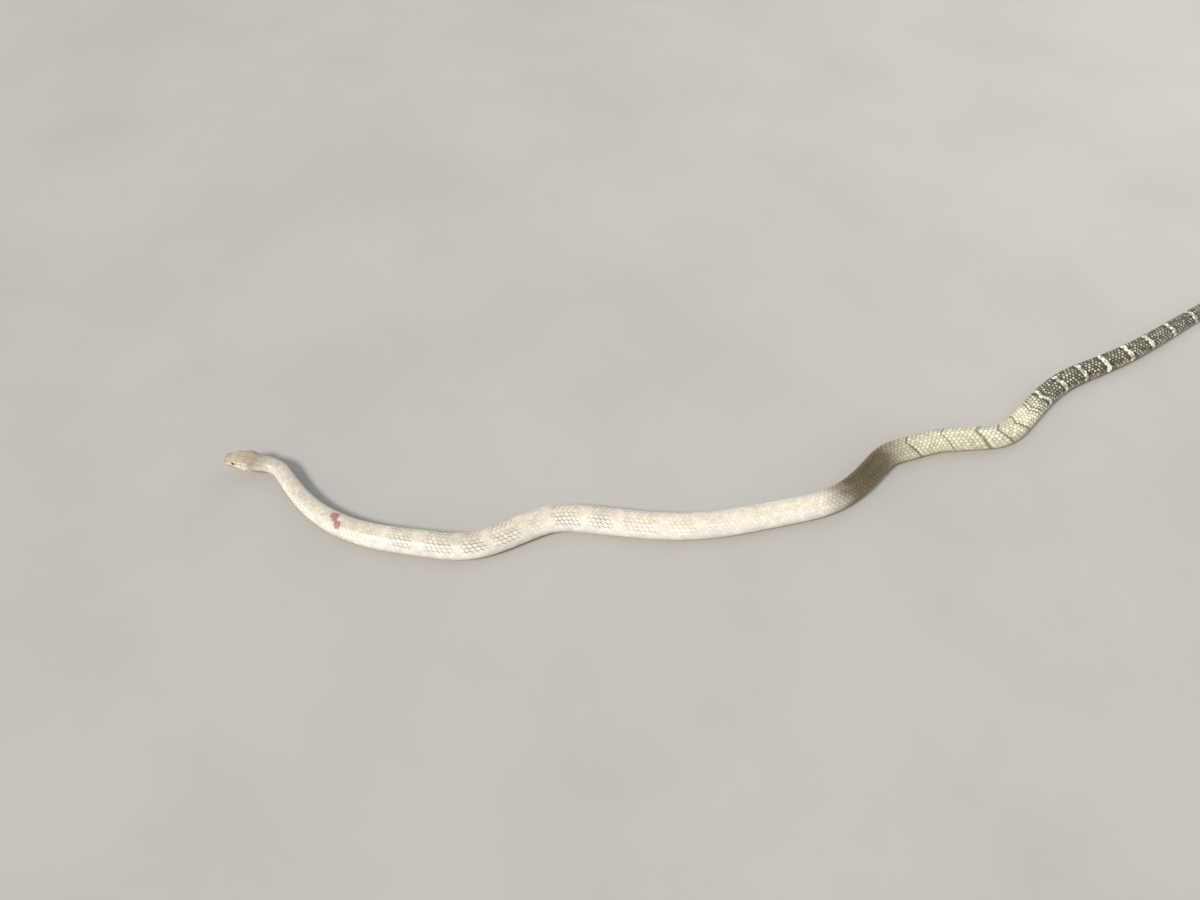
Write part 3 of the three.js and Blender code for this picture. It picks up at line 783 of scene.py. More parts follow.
def add_skin(surface):
    """Skin of head, jaw and body in one closed sheet. The head and body are rings from snout to tail; ahead
    of the corner of the mouth the upper ring closes over the palate and the lower one over the mouth's floor,
    and both meet in one line across the corner."""
    palate = 1000 * bpy.context.scene.cobra_skin.palate
    at_corner, whole = np.full((1, 1), float(MOUTH_CORNER)), WHOLE_ROUND[None]
    local, values = skin_ring(at_corner, whole, np.abs(whole) > 1)
    corner = surface.add_points(local, **values)[0]
    chord = add_lining(surface, local[:, [UPPER_STEPS, 0]], at_corner, 0, 0)[0]
    upper, lower = corner[: UPPER_STEPS + 1], np.append(corner[UPPER_STEPS:], corner[0])
    add_mouth_half(surface, False, 150, UPPER_ROUND, upper, chord, palate, 0)
    add_mouth_half(surface, True, 100, LOWER_ROUND, lower, chord[::-1], MOUTH_FLOOR, FLOOR_RIDGE)

    places = np.linspace(MOUTH_CORNER, CLOSE_GRID_END, 61)[:, None]
    local, values = skin_ring(places[1:], whole, np.abs(whole) > 1)
    neck = np.vstack([corner[None], surface.add_points(local, **values)])
    turn = np.linspace(-1, 3, UPPER_STEPS + LOWER_STEPS + 1)[None]
    surface.sheet(closed(neck), boxed(places / CLOSE_GRID_END, (turn + 1) / 4, HEAD_BOX))

    places = np.concatenate([np.linspace(BODY_GRID_FROM, BODY_GRID_END, BODY_RINGS), TAIL_RINGS])
    local, values = skin_ring(places[:, None], whole[:, ::2])
    body = surface.add_points(local, **values)
    add_knit(surface, neck[-1], body[0])
    per = len(places) // BODY_STRIPS
    for strip in range(BODY_STRIPS):
        grid = closed(body)[strip * per : (strip + 1) * per + 1 if strip < BODY_STRIPS - 1 else None]
        along, turn = np.linspace(0, 1, len(grid))[:, None], np.linspace(0, 1, grid.shape[1])[None]
        surface.sheet(grid, boxed(along, (strip + 0.03 + 0.94 * turn) / BODY_STRIPS, BODY_BOX))
    end = surface.add_points(local[-1].mean(0), **one_of(values, -1))
    surface.fan(body[-1][::-1], end, TAIL_SPOT)
    surface.turn_over()


CORNER_LIMIT = 0.42  # how much of a side each of its two corners may take up


def rounded(corners, points, radius):
    """A polygon with each corner cut on a curve of the given radius, then walked in equal steps."""

    def towards(other):
        """Each corner moved by the radius towards another, but not past a set share of the way."""
        gap = other - corners
        return corners + gap * np.minimum(radius / np.linalg.norm(gap, axis=1), CORNER_LIMIT)[:, None]

    first, last = towards(np.roll(corners, 1, 0)), towards(np.roll(corners, -1, 0))
    loop = np.stack([first, 0.25 * first + 0.5 * corners + 0.25 * last, last], 1).reshape(-1, 2)
    loop = np.vstack([loop, loop[:1]])
    run = np.concatenate([[0], np.cumsum(np.linalg.norm(np.diff(loop, axis=0), axis=1))])
    at = np.linspace(0, run[-1], points + 1)[:-1]
    return np.stack([np.interp(at, run, loop[:, i]) for i in (0, 1)], -1)


IN_SIGHT, NUDGE = 0.9, 0.05  # how far inside every edge a middle comes, and in what steps it is moved


def seen_middle(edge):
    """The mean of an outline's points. Where the outline bends back so far that part of it is hidden from
    there, the mean is moved away from the edge that hides it until all of the outline is in sight."""
    middle, along = edge.mean(0), np.roll(edge, -1, 0) - edge
    inward = np.stack([-along[:, 1], along[:, 0]], -1) / np.linalg.norm(along, axis=1)[:, None]
    depth = ((middle - edge) * inward).sum(1)
    clear = IN_SIGHT if depth.min() < 0 else 0
    for _ in range(400):
        if depth.min() >= clear:
            break
        middle = middle + NUDGE * inward[depth.argmin()]
        depth = ((middle - edge) * inward).sum(1)
    return middle


def add_shield_points(surface, where, up, rim, tone, jaw, front):
    """Points of a shield, so high above the outline. They follow the pits of the face and, where they stand
    clear of the skin, its rims."""
    if front:
        reach = np.minimum(np.hypot(where[..., 0], where[..., 1]), 0.995)
        behind = SNOUT_ROUNDING * (1 - np.sqrt(1 - reach**2))
        angle = np.arctan2(where[..., 0], where[..., 1])
        around = np.abs(angle) / (math.pi / 2)
    else:
        behind, around = where[..., 0], where[..., 1]
        angle = angle_of(behind, around)
    pits = features(behind, angle)
    pits = np.where(up < 0, np.minimum(pits, 0), pits)
    values = looks(behind, np.minimum(around, 4 - around), rim=rim, tip=0.8, chance=tone, hatch=0.0)
    values["shade"] = 0.0 if jaw else shadowed(behind, angle)
    local = on_outline(np.maximum(behind, 0.03), angle, up + pits, jaw)
    return surface.add_points(local, **values)


def shield_map(at, front, box):
    """Places on a shield as places on the bake map."""
    if front:
        return boxed(0.5 + at[..., 0] * 0.7, 0.5 + at[..., 1] * 0.5, box)
    return boxed(at[..., 0] / SHIELD_MAP_END, (at[..., 1] + 2) / 4, box)


def add_shield(surface, corners, tone, jaw=False, front=None, points=40):
    """One shield of the head: its rounded outline drawn in towards the middle, ring by ring, from a root
    under the skin over a narrow sloping edge to a low dome. A shield at the very front has its own box on the
    bake map, and its corners are shares of the snout's round end, otherwise they are [behind, round]."""
    rise = 1000 * bpy.context.scene.cobra_skin.shield_rise
    measure = FRONT_MEASURE if front else SHIELD_MEASURE
    corners = np.array(corners, float) * measure
    after = np.roll(corners, -1, 0)
    area = (corners[:, 0] * after[:, 1] - corners[:, 1] * after[:, 0]).sum()
    edge = rounded(corners if (area < 0) == bool(front) else corners[::-1], points, SHIELD_ROUNDING)
    middle = edge.mean(0) if front else seen_middle(edge)
    out = edge - middle
    drawn, least, domed, raised, rim = SHIELD_RINGS.T[..., None]
    share = np.maximum(1 - drawn / np.linalg.norm(out, axis=1), least)
    rises = domed * rise + raised
    where, centre = (middle + out * share[..., None]) / measure, middle[None] / measure
    grid = add_shield_points(surface, where, rises, rim, tone, jaw, front)
    top = add_shield_points(surface, centre, rises[-1], 0.0, tone, jaw, front)[0]
    root = add_shield_points(surface, centre, rises[0], 1.0, tone, jaw, front)[0]

    where, grid = closed(where), closed(grid)
    box, root_box = front or SHIELD_BOX, front or ROOT_BOX
    maps, top_map = shield_map(where, front, box), shield_map(centre[0], front, box)
    surface.sheet(grid[1:], maps[1:])
    root_map = shield_map(centre[0], front, root_box)
    outward = shield_map(where[1], front, root_box) - root_map
    if front:
        root_map, outward = np.array((front[0] + 0.025, front[1] - 0.01)), 0.12 * outward
    under = root_map + np.stack([0.9 * outward, outward])
    surface.sheet(grid[:2], under)
    surface.cap(grid[-1, ::-1], top, maps[-1, ::-1], top_map)
    surface.cap(grid[0], root, under[0], root_map)


def add_head_shields(surface, chance):
    """Every shield of crown, sides, lips and chin, the left ones mirrored to the right."""
    pairs = zip(UPPER_LIP, UPPER_LIP[1:])
    upper = [[(start, top), (end, next_top), (end, 1), (start, 1)] for (start, top), (end, next_top) in pairs]
    pairs = zip(LOWER_LIP, LOWER_LIP[1:])
    lower = [[(start, 1), (end, 1), (end, next_low), (start, low)] for (start, low), (end, next_low) in pairs]
    add_shield(surface, FRONTAL, chance.random())
    add_shield(surface, ROSTRAL, chance.random(), False, ROSTRAL_BOX)
    add_shield(surface, MENTAL, chance.random(), True, MENTAL_BOX)
    groups = [(CROWN_SHIELDS.values(), False, 44), (SIDE_SHIELDS.values(), False, 36), (upper, False, 34)]
    groups += [(lower, True, 32), (CHIN_SHIELDS.values(), True, 40)]
    for shields, jaw, points in groups:
        for corners in shields:
            for left in (1, -1):
                turned = np.array(corners)[::left] * (1, left)
                add_shield(surface, turned, chance.random(), jaw, None, points)


# The form of one scale, in coat depths: height of its root, how far the tip stands above that, its dome, the
# thickness of its edge and the middle of its underside
SCALE_ROOT, SCALE_LIFT, SCALE_DOME, SCALE_EDGE, SCALE_BASE = -1.1, 0.97, 0.3, 0.26, -0.95


def scale_pattern(corners):
    """One scale in its own measure, 1 from the middle to each end: rings round a rounded lozenge, rising from
    the root to the free tip, domed, with a thin edge and a plain underside. Returns for each point its place
    along and across, its height in coat depths and its share of the way out to the rim, then the faces, each
    corner with its place on the scale's own patch of the bake map, and whether they are smooth."""
    turn = 2 * math.pi * np.arange(corners) / corners
    end, edge = squared(np.cos(turn), 0.94), squared(np.sin(turn), 1.15)

    def ring(share, drawn, drop):
        """A ring of the scale, drawn in by a share. Its height is the root's, plus the lift times how far it
        lies towards the free end, plus the dome times that and one minus the share cubed, less a drop."""
        along, across = drawn * end, drawn * edge
        lifted = (along + 1) / 2
        height = SCALE_ROOT + SCALE_LIFT * lifted + SCALE_DOME * (1 - share**3) * lifted - drop
        return np.stack([along, across, height, np.full(corners, share)], -1)

    middle, under = [[0, 0, SCALE_ROOT + (SCALE_LIFT + SCALE_DOME) / 2, 0]], [[0, 0, SCALE_BASE, 1]]
    points = np.concatenate([middle, ring(0.6, 0.6, 0), ring(1, 1, 0), ring(1, 0.97, SCALE_EDGE), under])
    k = np.arange(corners)
    after = (k + 1) % corners
    inner, outer, lower = 1 + k, 1 + corners + k, 1 + 2 * corners + k

    def spot(numbers, patch):
        """Where points lie on a patch of the scale's cell: its middle plus their shares of its half sizes."""
        wide, high, up = patch
        return np.stack([0.5 + wide * points[numbers][..., 0], up + high * points[numbers][..., 1]], -1)

    top = [np.stack([0 * k, inner, inner[after]], -1)]
    top += [np.stack([inner, outer, outer[after], inner[after]], -1)]
    wall = np.stack([outer, lower, lower[after], outer[after]], -1)
    base = np.stack([lower, np.full_like(k, len(points) - 1), lower[after]], -1)
    wall_map = spot(wall, WALL_PATCH)
    wall_map[:, 1:3] = spot(wall[:, 1:3], BASE_PATCH)
    parts = [(faces, spot(faces, TOP_PATCH), True) for faces in top]
    parts += [(wall, wall_map, False), (base, spot(base, BASE_PATCH), False)]
    return points, [(faces[:, ::-1], maps[:, ::-1], smooth) for faces, maps, smooth in parts]


def add_patches(surface, numbers, parts, place):
    """The faces of many like scales, each with its patch of the bake map put in its own cell."""
    left, low, wide, high = place
    for faces, maps, smooth in parts:
        u = left[:, None, None] + wide * CELL_FILL[0] * maps[None, ..., 0]
        v = low[:, None, None] + high * CELL_FILL[1] * maps[None, ..., 1]
        surface.add_faces(numbers[:, faces], np.stack([u, v], -1), smooth)


RIDGE_BREADTH = 1.08  # how much wider the scales of the ridge are
BREADTH_SPREAD, HEIGHT_SPREAD = 0.04, 0.05  # how much scales differ in width, and in height in coat depths
OWN_PLACE = 0.55  # how far a point of a scale is marked by its own place, and not by that of its scale


def add_scales(surface, rows, chance):
    """Scales along some rows of the back. Each scale lies at a whole step along its row, and each row starts
    half a step further back than the one above it. Along the body a scale reaches over its own step, and
    round it over its row's width."""
    settings = bpy.context.scene.cobra_scales
    points, parts = scale_pattern(settings.corners)
    row, step = (v.ravel() for v in np.meshgrid(np.array(rows), ALL_STEPS, indexing="ij"))
    outward = np.abs(row)
    behind = station(step + 0.5 * outward)
    kept = (behind > np.array(ROW_START)[outward]) & (behind < TOTAL_LENGTH - 6)
    kept &= step + 0.5 * outward < COUNTED[-1] - 1
    kept &= outward + 0.5 <= between(ROWS, behind, 1) / 2 + ROW_FIT
    row, step, behind = row[kept], step[kept], behind[kept]
    tone = chance.random(len(row))
    differing = 1 + BREADTH_SPREAD * chance.standard_normal(len(row))
    wide = settings.breadth * np.where(row == 0, RIDGE_BREADTH, 1.0) * differing
    reach = settings.reach * between(PITCH, behind, 1)
    at = np.clip(behind[:, None] + reach[:, None] * points[:, 0], COAT_FROM + 0.5, TOTAL_LENGTH - END_MARGIN)
    arc = row_width(at) * (row[:, None] + wide[:, None] * points[:, 1])
    angle = angle_at(at, np.clip(arc, -0.99 * half_round(at), 0.99 * half_round(at)))
    rise = coat_depth(at) * (points[:, 2] + HEIGHT_SPREAD * (tone[:, None] - 0.5))
    worn = marks(
        (1 - OWN_PLACE) * behind[:, None] + OWN_PLACE * at,
        (1 - OWN_PLACE) * row[:, None] + OWN_PLACE * arc / row_width(at),
    )
    around = np.abs(angle) / (math.pi / 2)
    values = {"along": behind[:, None] / TOTAL_LENGTH, "round": around, "crown": crown_share(at + 4, around)}
    values |= {"tip": (points[:, 0] + 1) / 2, "rim": points[:, 3], "chance": tone[:, None], "inside": 0.0}
    values |= worn | {"hatch": marks(behind, row)["hatch"][:, None]}
    values |= {"shade": 0.0, "upper": -np.sign(row)[:, None] * points[:, 1]}
    numbers = surface.add_points(on_outline(at, angle, rise, np.abs(angle) > lip_angle(at)), **values)
    low = (row - min(rows)) / len(rows)
    cells = strip_cells(step + 0.5 * (np.abs(row) % 2), SCALE_STRIPS, low, 1 / len(rows))
    add_patches(surface, numbers, parts, cells)


PLATE_THICKNESS = 0.3  # in coat depths


def add_plates(surface, behind, arc, rise, values, patch):
    """Closed plates from their upper faces: the same grid again underneath, joined round the edge."""
    tall, wide = rise.shape[1:]
    angle = angle_at(behind, arc)
    top = surface.add_points(on_outline(behind, angle, rise), **values)
    sunk = rise - PLATE_THICKNESS * coat_depth(behind)
    under = surface.add_points(on_outline(behind, angle, sunk), **values)
    left, low, along, across = (np.broadcast_to(v, len(behind))[:, None, None] for v in patch)

    def spots(u, v):
        """Shares of a scute's cell as places on the bake map: its corner plus the shares of its sides."""
        return np.stack(np.broadcast_arrays(left + along * CELL_FILL[0] * u, low + across * v), -1)

    u, v = np.linspace(0, 1, tall)[:, None], np.linspace(0, 1, wide)[None]
    first, second = slice(None, -1), slice(1, None)
    turns = ((first, first), (second, first), (second, second), (first, second))
    sides = ((top, spots(u, 0.02 + 0.78 * v), turns), (under, spots(u, 0.83 + 0.1 * v), turns[::-1]))
    for grid, place, order in sides:
        faces = np.stack([grid[(slice(None), *c)] for c in order], -1)
        surface.add_faces(faces, np.stack([place[(slice(None), *c)] for c in order], -2))
    edges = [
        np.concatenate([grid[:, :-1, 0], grid[:, -1, :-1], grid[:, :0:-1, -1], grid[:, 0, :0:-1]], 1)
        for grid in (top, under)
    ]
    share = np.linspace(0, 1, edges[0].shape[1] + 1)[None]
    upper, lower = spots(share, 0.97)[:, 0], spots(share, 0.945)[:, 0]
    after = [np.roll(edge, -1, 1) for edge in edges]
    faces = np.stack([edges[0], edges[1], after[1], after[0]], -1)
    surface.add_faces(faces, np.stack([upper[:, :-1], lower[:, :-1], lower[:, 1:], upper[:, 1:]], -2), False)


SCUTE_FROM = 88
SCUTE_REACH, SCUTE_BOW = 0.72, 0.16  # half a scute's length and how far its middle is bowed back, in steps
SCUTE_SPAN = 1 - 0.965 * BACK_SHARE  # share of the way from the belly's middle to the ridge
SCUTE_ROOT, SCUTE_LIFT, SCUTE_ENDS, SCUTE_INNER = -1.12, 1.04, 0.12, 0.1  # heights in coat depths


def add_belly(surface, chance):
    """Broad scutes across the belly, one to a step, each lapping over the next and bowed back in the middle.
    Behind the vent they come in pairs, set half a step apart."""
    behind = station(ALL_STEPS)
    whole, paired = (behind > SCUTE_FROM) & (behind < VENT), behind >= VENT
    long = np.linspace(-SCUTE_REACH, SCUTE_REACH, 4)
    for side, chosen, half in ((0, whole, (0, 0.98)), (1, paired, (0, 0.48)), (-1, paired, (0.5, 0.48))):
        step = ALL_STEPS[chosen] + 0.5 * (side < 0)
        step = step[station(step) < TOTAL_LENGTH - 8]
        at = station(step)
        across = np.linspace(-1, 1, 13) if side == 0 else np.linspace(0, side, 7)[::side]
        out, lift = np.abs(across)[None, None], (long / SCUTE_REACH / 2 + 0.5)[None, :, None]
        bowed = long[None, :, None] + SCUTE_BOW * (1 - out**2)
        place = at[:, None, None] + between(PITCH, at, 1)[:, None, None] * bowed
        place = np.clip(place, COAT_FROM + 1, TOTAL_LENGTH - 0.8)
        arc = half_round(place) * (1 - out * SCUTE_SPAN) * np.where(across < 0, -1, 1)
        inner = SCUTE_INNER * (side != 0) * (1 - out) ** 6
        rise = coat_depth(place) * (SCUTE_ROOT + SCUTE_LIFT * lift - SCUTE_ENDS * out**8 - inner)
        worn = marks(place - 2, np.full(place.shape, 8.0))
        known = {"tip": lift, "rim": np.maximum(out**6, np.abs(2 * lift - 1) ** 4), "crown": 0.0}
        known["chance"] = chance.random(len(at))[:, None, None]
        cells = strip_cells(step, SCUTE_STRIPS, *half)
        add_plates(surface, place, arc, rise, looks(place, 2 - 0.7 * out, **worn | known), cells)


THROAT_FROM, THROAT_PITCH, THROAT_ROW = 12, 5.4, 0.082  # first scales, steps along and rows round the throat
THROAT_REACH, THROAT_BREADTH, THROAT_RISE = 4.9, 0.052, 0.55  # half a scale's length and width, its height


def add_throat(surface, chance):
    """Small scales of chin and throat, between the lips, the chin shields and the first scutes."""
    points, parts = scale_pattern(10)
    row, step = (v.ravel() for v in np.meshgrid(np.arange(-9, 10), np.arange(16), indexing="ij"))
    behind, around = THROAT_FROM + THROAT_PITCH * (step + 0.5 * (row % 2)), 2 - np.abs(row) * THROAT_ROW
    beside_chin, behind_chin = (around < 1.4) & (around > 1.27), (around < 1.52) & (behind > 41)
    kept = ((behind > 47) | behind_chin | beside_chin) & (around > 1.24) & (behind < 94)
    row, behind, around = row[kept], behind[kept], around[kept]
    side = np.where(row < 0, -1, 1)[:, None]
    at = behind[:, None] + THROAT_REACH * points[:, 0]
    turn = side * (around[:, None] + side * THROAT_BREADTH * points[:, 1])
    rise = THROAT_RISE * (points[:, 2] + 0.35) - 0.25
    chances = chance.random(len(row))[:, None]
    values = looks(at, np.abs(turn), tip=(points[:, 0] + 1) / 2, rim=points[:, 3], chance=chances)
    numbers = surface.add_points(on_outline(at, angle_of(at, turn), rise, True), **values)
    cell, wide, high = np.arange(len(row)), 20, 16
    left, bottom, right, top = THROAT_BOX
    place = (left + (cell % wide) / wide * (right - left), bottom + (cell // wide) / high * (top - bottom))
    add_patches(surface, numbers, parts, (*place, (right - left) / wide, (top - bottom) / high))


def angle_up(behind, up):
    """The angle at which the outline above the lips is so high, found by halving."""
    low, high = np.zeros(np.shape(up)), np.full(np.shape(up), math.pi / 2)
    for _ in range(30):
        middle = (low + high) / 2
        above = outline(behind, middle)[1] > up
        low, high = np.where(above, middle, low), np.where(above, high, middle)
    return low


def eye_middle():
    """Where the eye's centre lies: inside the outline at the eye's height."""
    behind, up = np.array(float(EYE_BEHIND)), np.array(float(EYE_UP))
    return float(outline(behind, angle_up(behind, up))[0]) - EYE_RADIUS + EYE_BULGE


RIM_SINK = 0.15  # how deep the middle of a rim's section lies in the skin


def add_rims(surface):
    """A soft raised rim round each eye and each nostril: a ring whose section is an ellipse, bent onto the
    head."""
    turn, around = np.linspace(0, 2 * math.pi, 65)[:, None], np.linspace(0, 2 * math.pi, 11)[None]
    for number, (at, up, long, tall, wide, high, left) in enumerate(RIM_SIZES):
        behind = at + (long + wide * np.cos(around)) * np.cos(turn)
        level = up + (tall + wide * np.cos(around)) * np.sin(turn)
        local = on_outline(behind, left * angle_up(behind, level), high * np.sin(around) - RIM_SINK)
        # Painted shade: the rim is a little darker all round, and darkest on its inner side towards the
        # opening
        shade = (0.25 + 0.5 * smoothstep(-np.cos(around))) * np.ones_like(behind)
        values = looks(behind, 0.7, chance=0.3, hatch=0.0, rim=0.6, crown=0.6, shade=shade)
        values = {name: value[:-1, :-1] if np.ndim(value) else value for name, value in values.items()}
        grid = surface.add_points(local[:-1, :-1], **values)
        grid = np.pad(grid, ((0, 1), (0, 1)), "wrap")[:, ::left]
        along, across = turn / turn[-1], (around / around[0, -1])[:, ::left]
        surface.sheet(grid, boxed((number + 0.96 * along) / len(RIM_SIZES), across, RIM_BOX))


def eye(name, left, material):
    """A ball with its pole looking sideways: rings by the angle from the line of sight, a little flatter over
    the pupil. It carries that angle as a share of half a turn."""
    away = np.linspace(0, math.pi, 49)[1:-1, None]
    turn = left * np.linspace(0, 2 * math.pi, 65)[None]
    radius = EYE_RADIUS * (1 - 0.02 * bell(away, 0, 0.4))
    behind = EYE_BEHIND + radius * np.sin(away) * np.cos(turn)
    up = EYE_UP + radius * np.sin(away) * np.sin(turn)
    outward = left * (eye_middle() + radius * np.cos(away))
    local = np.stack(np.broadcast_arrays(behind, outward, up), -1)
    surface = Surface()
    grid = closed(surface.add_points(local[:, :-1], sight=away / math.pi))
    reach = 0.01 + 0.48 * away / math.pi
    maps = np.stack([0.5 + reach * np.cos(turn), 0.5 + reach * np.sin(turn)], -1)
    surface.sheet(grid, maps)
    poles = (
        (0.98 * EYE_RADIUS, 0.0, grid[0], maps[0], (0.5, 0.5)),
        (-EYE_RADIUS, 1.0, grid[-1, ::-1], 0.03 + 0.04 * maps[-1, ::-1], (0.05, 0.05)),
    )
    for out, sight, ring, rim, hub_map in poles:
        pole = np.array([EYE_BEHIND, left * (eye_middle() + out), EYE_UP])
        hub = surface.add_points(pole, sight=sight)
        surface.cap(ring, hub, rim, hub_map)
    return surface.piece(name, material)


def add_fangs(surface):
    """Two short fixed fangs at the front of the upper jaw: round horns, curved back, whose radius falls as
    1 - 0.93 share^2."""
    share, turn = np.linspace(0, 1, 15)[:, None], np.linspace(0, 2 * math.pi, 17)[None]
    radius = FANG_RADIUS * (1 - 0.93 * share**2)
    for left in (1, -1):
        behind = FANG_BEHIND + FANG_CURVE * share**2 + radius * np.cos(turn)
        side = left * (FANG_APART / 2 + radius * np.sin(turn))
        local = np.stack(np.broadcast_arrays(behind, side, LIPS_UP + FANG_UP - FANG_LENGTH * share), -1)
        grid = closed(surface.add_points(local[:, :-1]))[:, ::-left]
        start = 0.02 + 0.25 * (left + 1)
        round_share = np.broadcast_to(turn, grid.shape)[:, ::-left] / (2 * math.pi)
        surface.sheet(grid, boxed(round_share, share, (start, 0.02, start + 0.44, 0.86)))
        for end, ring, at in ((0, grid[0, :-1], start + 0.1), (-1, grid[-1, :0:-1], start + 0.3)):
            middle = surface.add_points(local[end, :-1].mean(0))
            surface.fan(ring, middle, (at, 0.93, 0.05))


# Materials


def add(tree, kind, inputs=None, **settings):
    """A node with its settings and its inputs, each a value or another node's output."""
    node = tree.nodes.new(kind)
    for key, value in settings.items():
        setattr(node, key, value)
    for key, value in (inputs or {}).items():
        if isinstance(value, bpy.types.NodeSocket):
            tree.links.new(value, node.inputs[key])
        else:
            node.inputs[key].default_value = value
    return node


def sums(tree, operation, *values):
    """One step of arithmetic."""
    return add(tree, "ShaderNodeMath", dict(enumerate(values)), operation=operation).outputs[0]


def times(tree, product, *others):
    """The product of two or more values."""
    for other in others:
        product = sums(tree, "MULTIPLY", product, other)
    return product


def scaled(tree, value, factor, added):
    """A value times a factor, with something added."""
    return sums(tree, "MULTIPLY_ADD", value, factor, added)


def ease(tree, value, low, high, start=0.0, end=1.0):
    """A smooth step of a value from one bound to the other."""
    inputs = {"Value": value, "From Min": low, "From Max": high, "To Min": start, "To Max": end}
    return add(tree, "ShaderNodeMapRange", inputs, interpolation_type="SMOOTHSTEP").outputs["Result"]


def mix(tree, share, first, second, blend_type="MIX"):
    """Two colours mixed."""
    inputs = {0: share, 6: first, 7: second}
    return add(tree, "ShaderNodeMix", inputs, data_type="RGBA", blend_type=blend_type).outputs[2]


def shaded(tree, tone, value):
    """A colour made lighter or darker by a value."""
    return mix(tree, 1.0, tone, grey(tree, value), "MULTIPLY")


def ramp(tree, place, stops):
    """A run of colours or grey levels, as (place, colour)."""
    node = add(tree, "ShaderNodeValToRGB", {"Fac": place})
    elements = node.color_ramp.elements
    while len(elements) < len(stops):
        elements.new(1.0)
    for element, (at, tint) in zip(elements, stops):
        element.position = at
        element.color = (*tint, 1) if isinstance(tint, tuple) else (tint, tint, tint, 1)
    return node.outputs["Color"]


def noise(tree, scale, detail=3.0, rough=0.55):
    """Cloudy noise in the object's own space."""
    spot = add(tree, "ShaderNodeTexCoord").outputs["Object"]
    inputs = {"Vector": spot, "Scale": scale, "Detail": detail, "Roughness": rough}
    return add(tree, "ShaderNodeTexNoise", inputs).outputs["Fac"]


def group(name, inputs, outputs):
    """A shader node group with its sockets, and its two end nodes."""
    tree = bpy.data.node_groups.new(name, "ShaderNodeTree")
    for direction, sockets in (("INPUT", inputs), ("OUTPUT", outputs)):
        for socket, kind in sockets.items():
            tree.interface.new_socket(socket, in_out=direction, socket_type=f"NodeSocket{kind}")
    return tree, tree.nodes.new("NodeGroupInput").outputs, tree.nodes.new("NodeGroupOutput").inputs


def finish(tree, outputs, **values):
    """Hands a group's results to its outputs."""
    for name, value in values.items():
        tree.links.new(value, outputs[name])


def use(tree, made, **inputs):
    """The outputs of a group for inputs that are other nodes' outputs."""
    node = tree.nodes.new("ShaderNodeGroup")
    node.node_tree = made
    for name, value in inputs.items():
        tree.links.new(value, node.inputs[name])
    return node.outputs


def value_of(tree, name):
    """A value that the piece carries."""
    return add(tree, "ShaderNodeAttribute", attribute_name=name).outputs["Fac"]


def grey(tree, value):
    """A value as a colour."""
    return add(tree, "ShaderNodeCombineColor", {0: value, 1: value, 2: value}).outputs[0]


def lit(tint, light=1):
    """A colour of the settings made so many times as light."""
    return tuple(c * light for c in tint)


def bump(tree, height, strength, distance):
    """The normal that fine heights give."""
    inputs = {"Height": height, "Strength": strength, "Distance": distance}
    return add(tree, "ShaderNodeBump", inputs).outputs[0]


# How the colours run from the snout at 0 to the tip of the tail at 1: place, colour, how light it is

RIDGE_RUN = (
    (0, "back", 1), (0.24, "back", 1), (0.3, "back", 1.12), (0.418, "back", 1.1),
    # Painted shade: in the brown stretch at the middle the ridge is darkest, as if a shadow lay across it
    (0.441, "olive_and_shade", 0.85), (0.459, "olive_and_shade", 0.6), (0.478, "olive_and_shade", 0.85),
    (0.507, "sage", 1), (0.575, "sage", 1.1), (0.592, "sage", 1.28), (0.606, "sage", 1.14),
    (0.627, "charcoal", 1.16), (0.8, "charcoal", 0.86), (1, "charcoal", 0.5),
)
SIDE_RUN = (
    (0, "face", 1), (0.03, "flank", 0.92), (0.06, "flank", 1), (0.418, "flank", 1),
    # Painted shade: in the brown stretch at the middle the flanks stay lighter than the shaded ridge
    (0.443, "olive_and_shade", 1.45), (0.476, "olive_and_shade", 1.5),
    (0.507, "sage", 1.08), (0.58, "sage", 1.12), (0.592, "sage", 1.32), (0.606, "sage", 1.16),
    (0.627, "charcoal", 1.22), (1, "charcoal", 0.6),
)
BELLY_RUN = (
    (0, "belly", 1), (0.44, "belly", 1), (0.6, "belly", 0.85), (0.66, "belly", 0.55), (0.8, "belly", 0.35),
    (1, "belly", 0.22),
)
# In the same way: how much the scales differ, how dark their seams are, and the linear colour of seams and
# lines
# Scales differ at random; where the spread peaks near 0.64 it also paints glints on single scales
VARIED_AND_GLINT_RUN = ((0, 0.24), (0.44, 0.18), (0.6, 0.5), (0.64, 1.45), (1, 1.1))
SEAM_RUN = (
    (0, 0.4), (0.022, 0.4), (0.035, 0.18), (0.14, 0.08), (0.3, 0.05), (0.41, 0.1), (0.45, 0.62), (0.5, 0.55),
    (0.575, 0.55), (0.6, 0.68), (0.62, 0.96), (1, 0.98),
)
DARK_RUN = (
    (0, (0.1, 0.085, 0.062)), (0.03, (0.075, 0.066, 0.052)), (0.42, (0.07, 0.063, 0.05)),
    (0.45, (0.026, 0.022, 0.015)), (0.49, (0.05, 0.044, 0.033)), (0.6, (0.022, 0.018, 0.01)),
)
RING_EDGE, DARK_INSIDE = (0.012, 0.012, 0.01), (0.02, 0.014, 0.01)
SIDE_FADE, BELLY_FADE = (0.12, 0.78), (1.2, 1.45)  # round the body: where they come in, and stand alone
EDGE_FULL, EDGE_END = 0.4, 0.62  # how far a ring's dark edge reaches, in steps: at full strength, and at all

CARRIED = ("Along", "Round", "Pale", "Ink", "Beside", "Hatch", "Chance", "Crown", "Shade")


def coloured(tree, along, run):
    """A run of the settings' colours."""
    tints = bpy.context.scene.cobra_colours
    return ramp(tree, along, [(at, lit(getattr(tints, name), light)) for at, name, light in run])


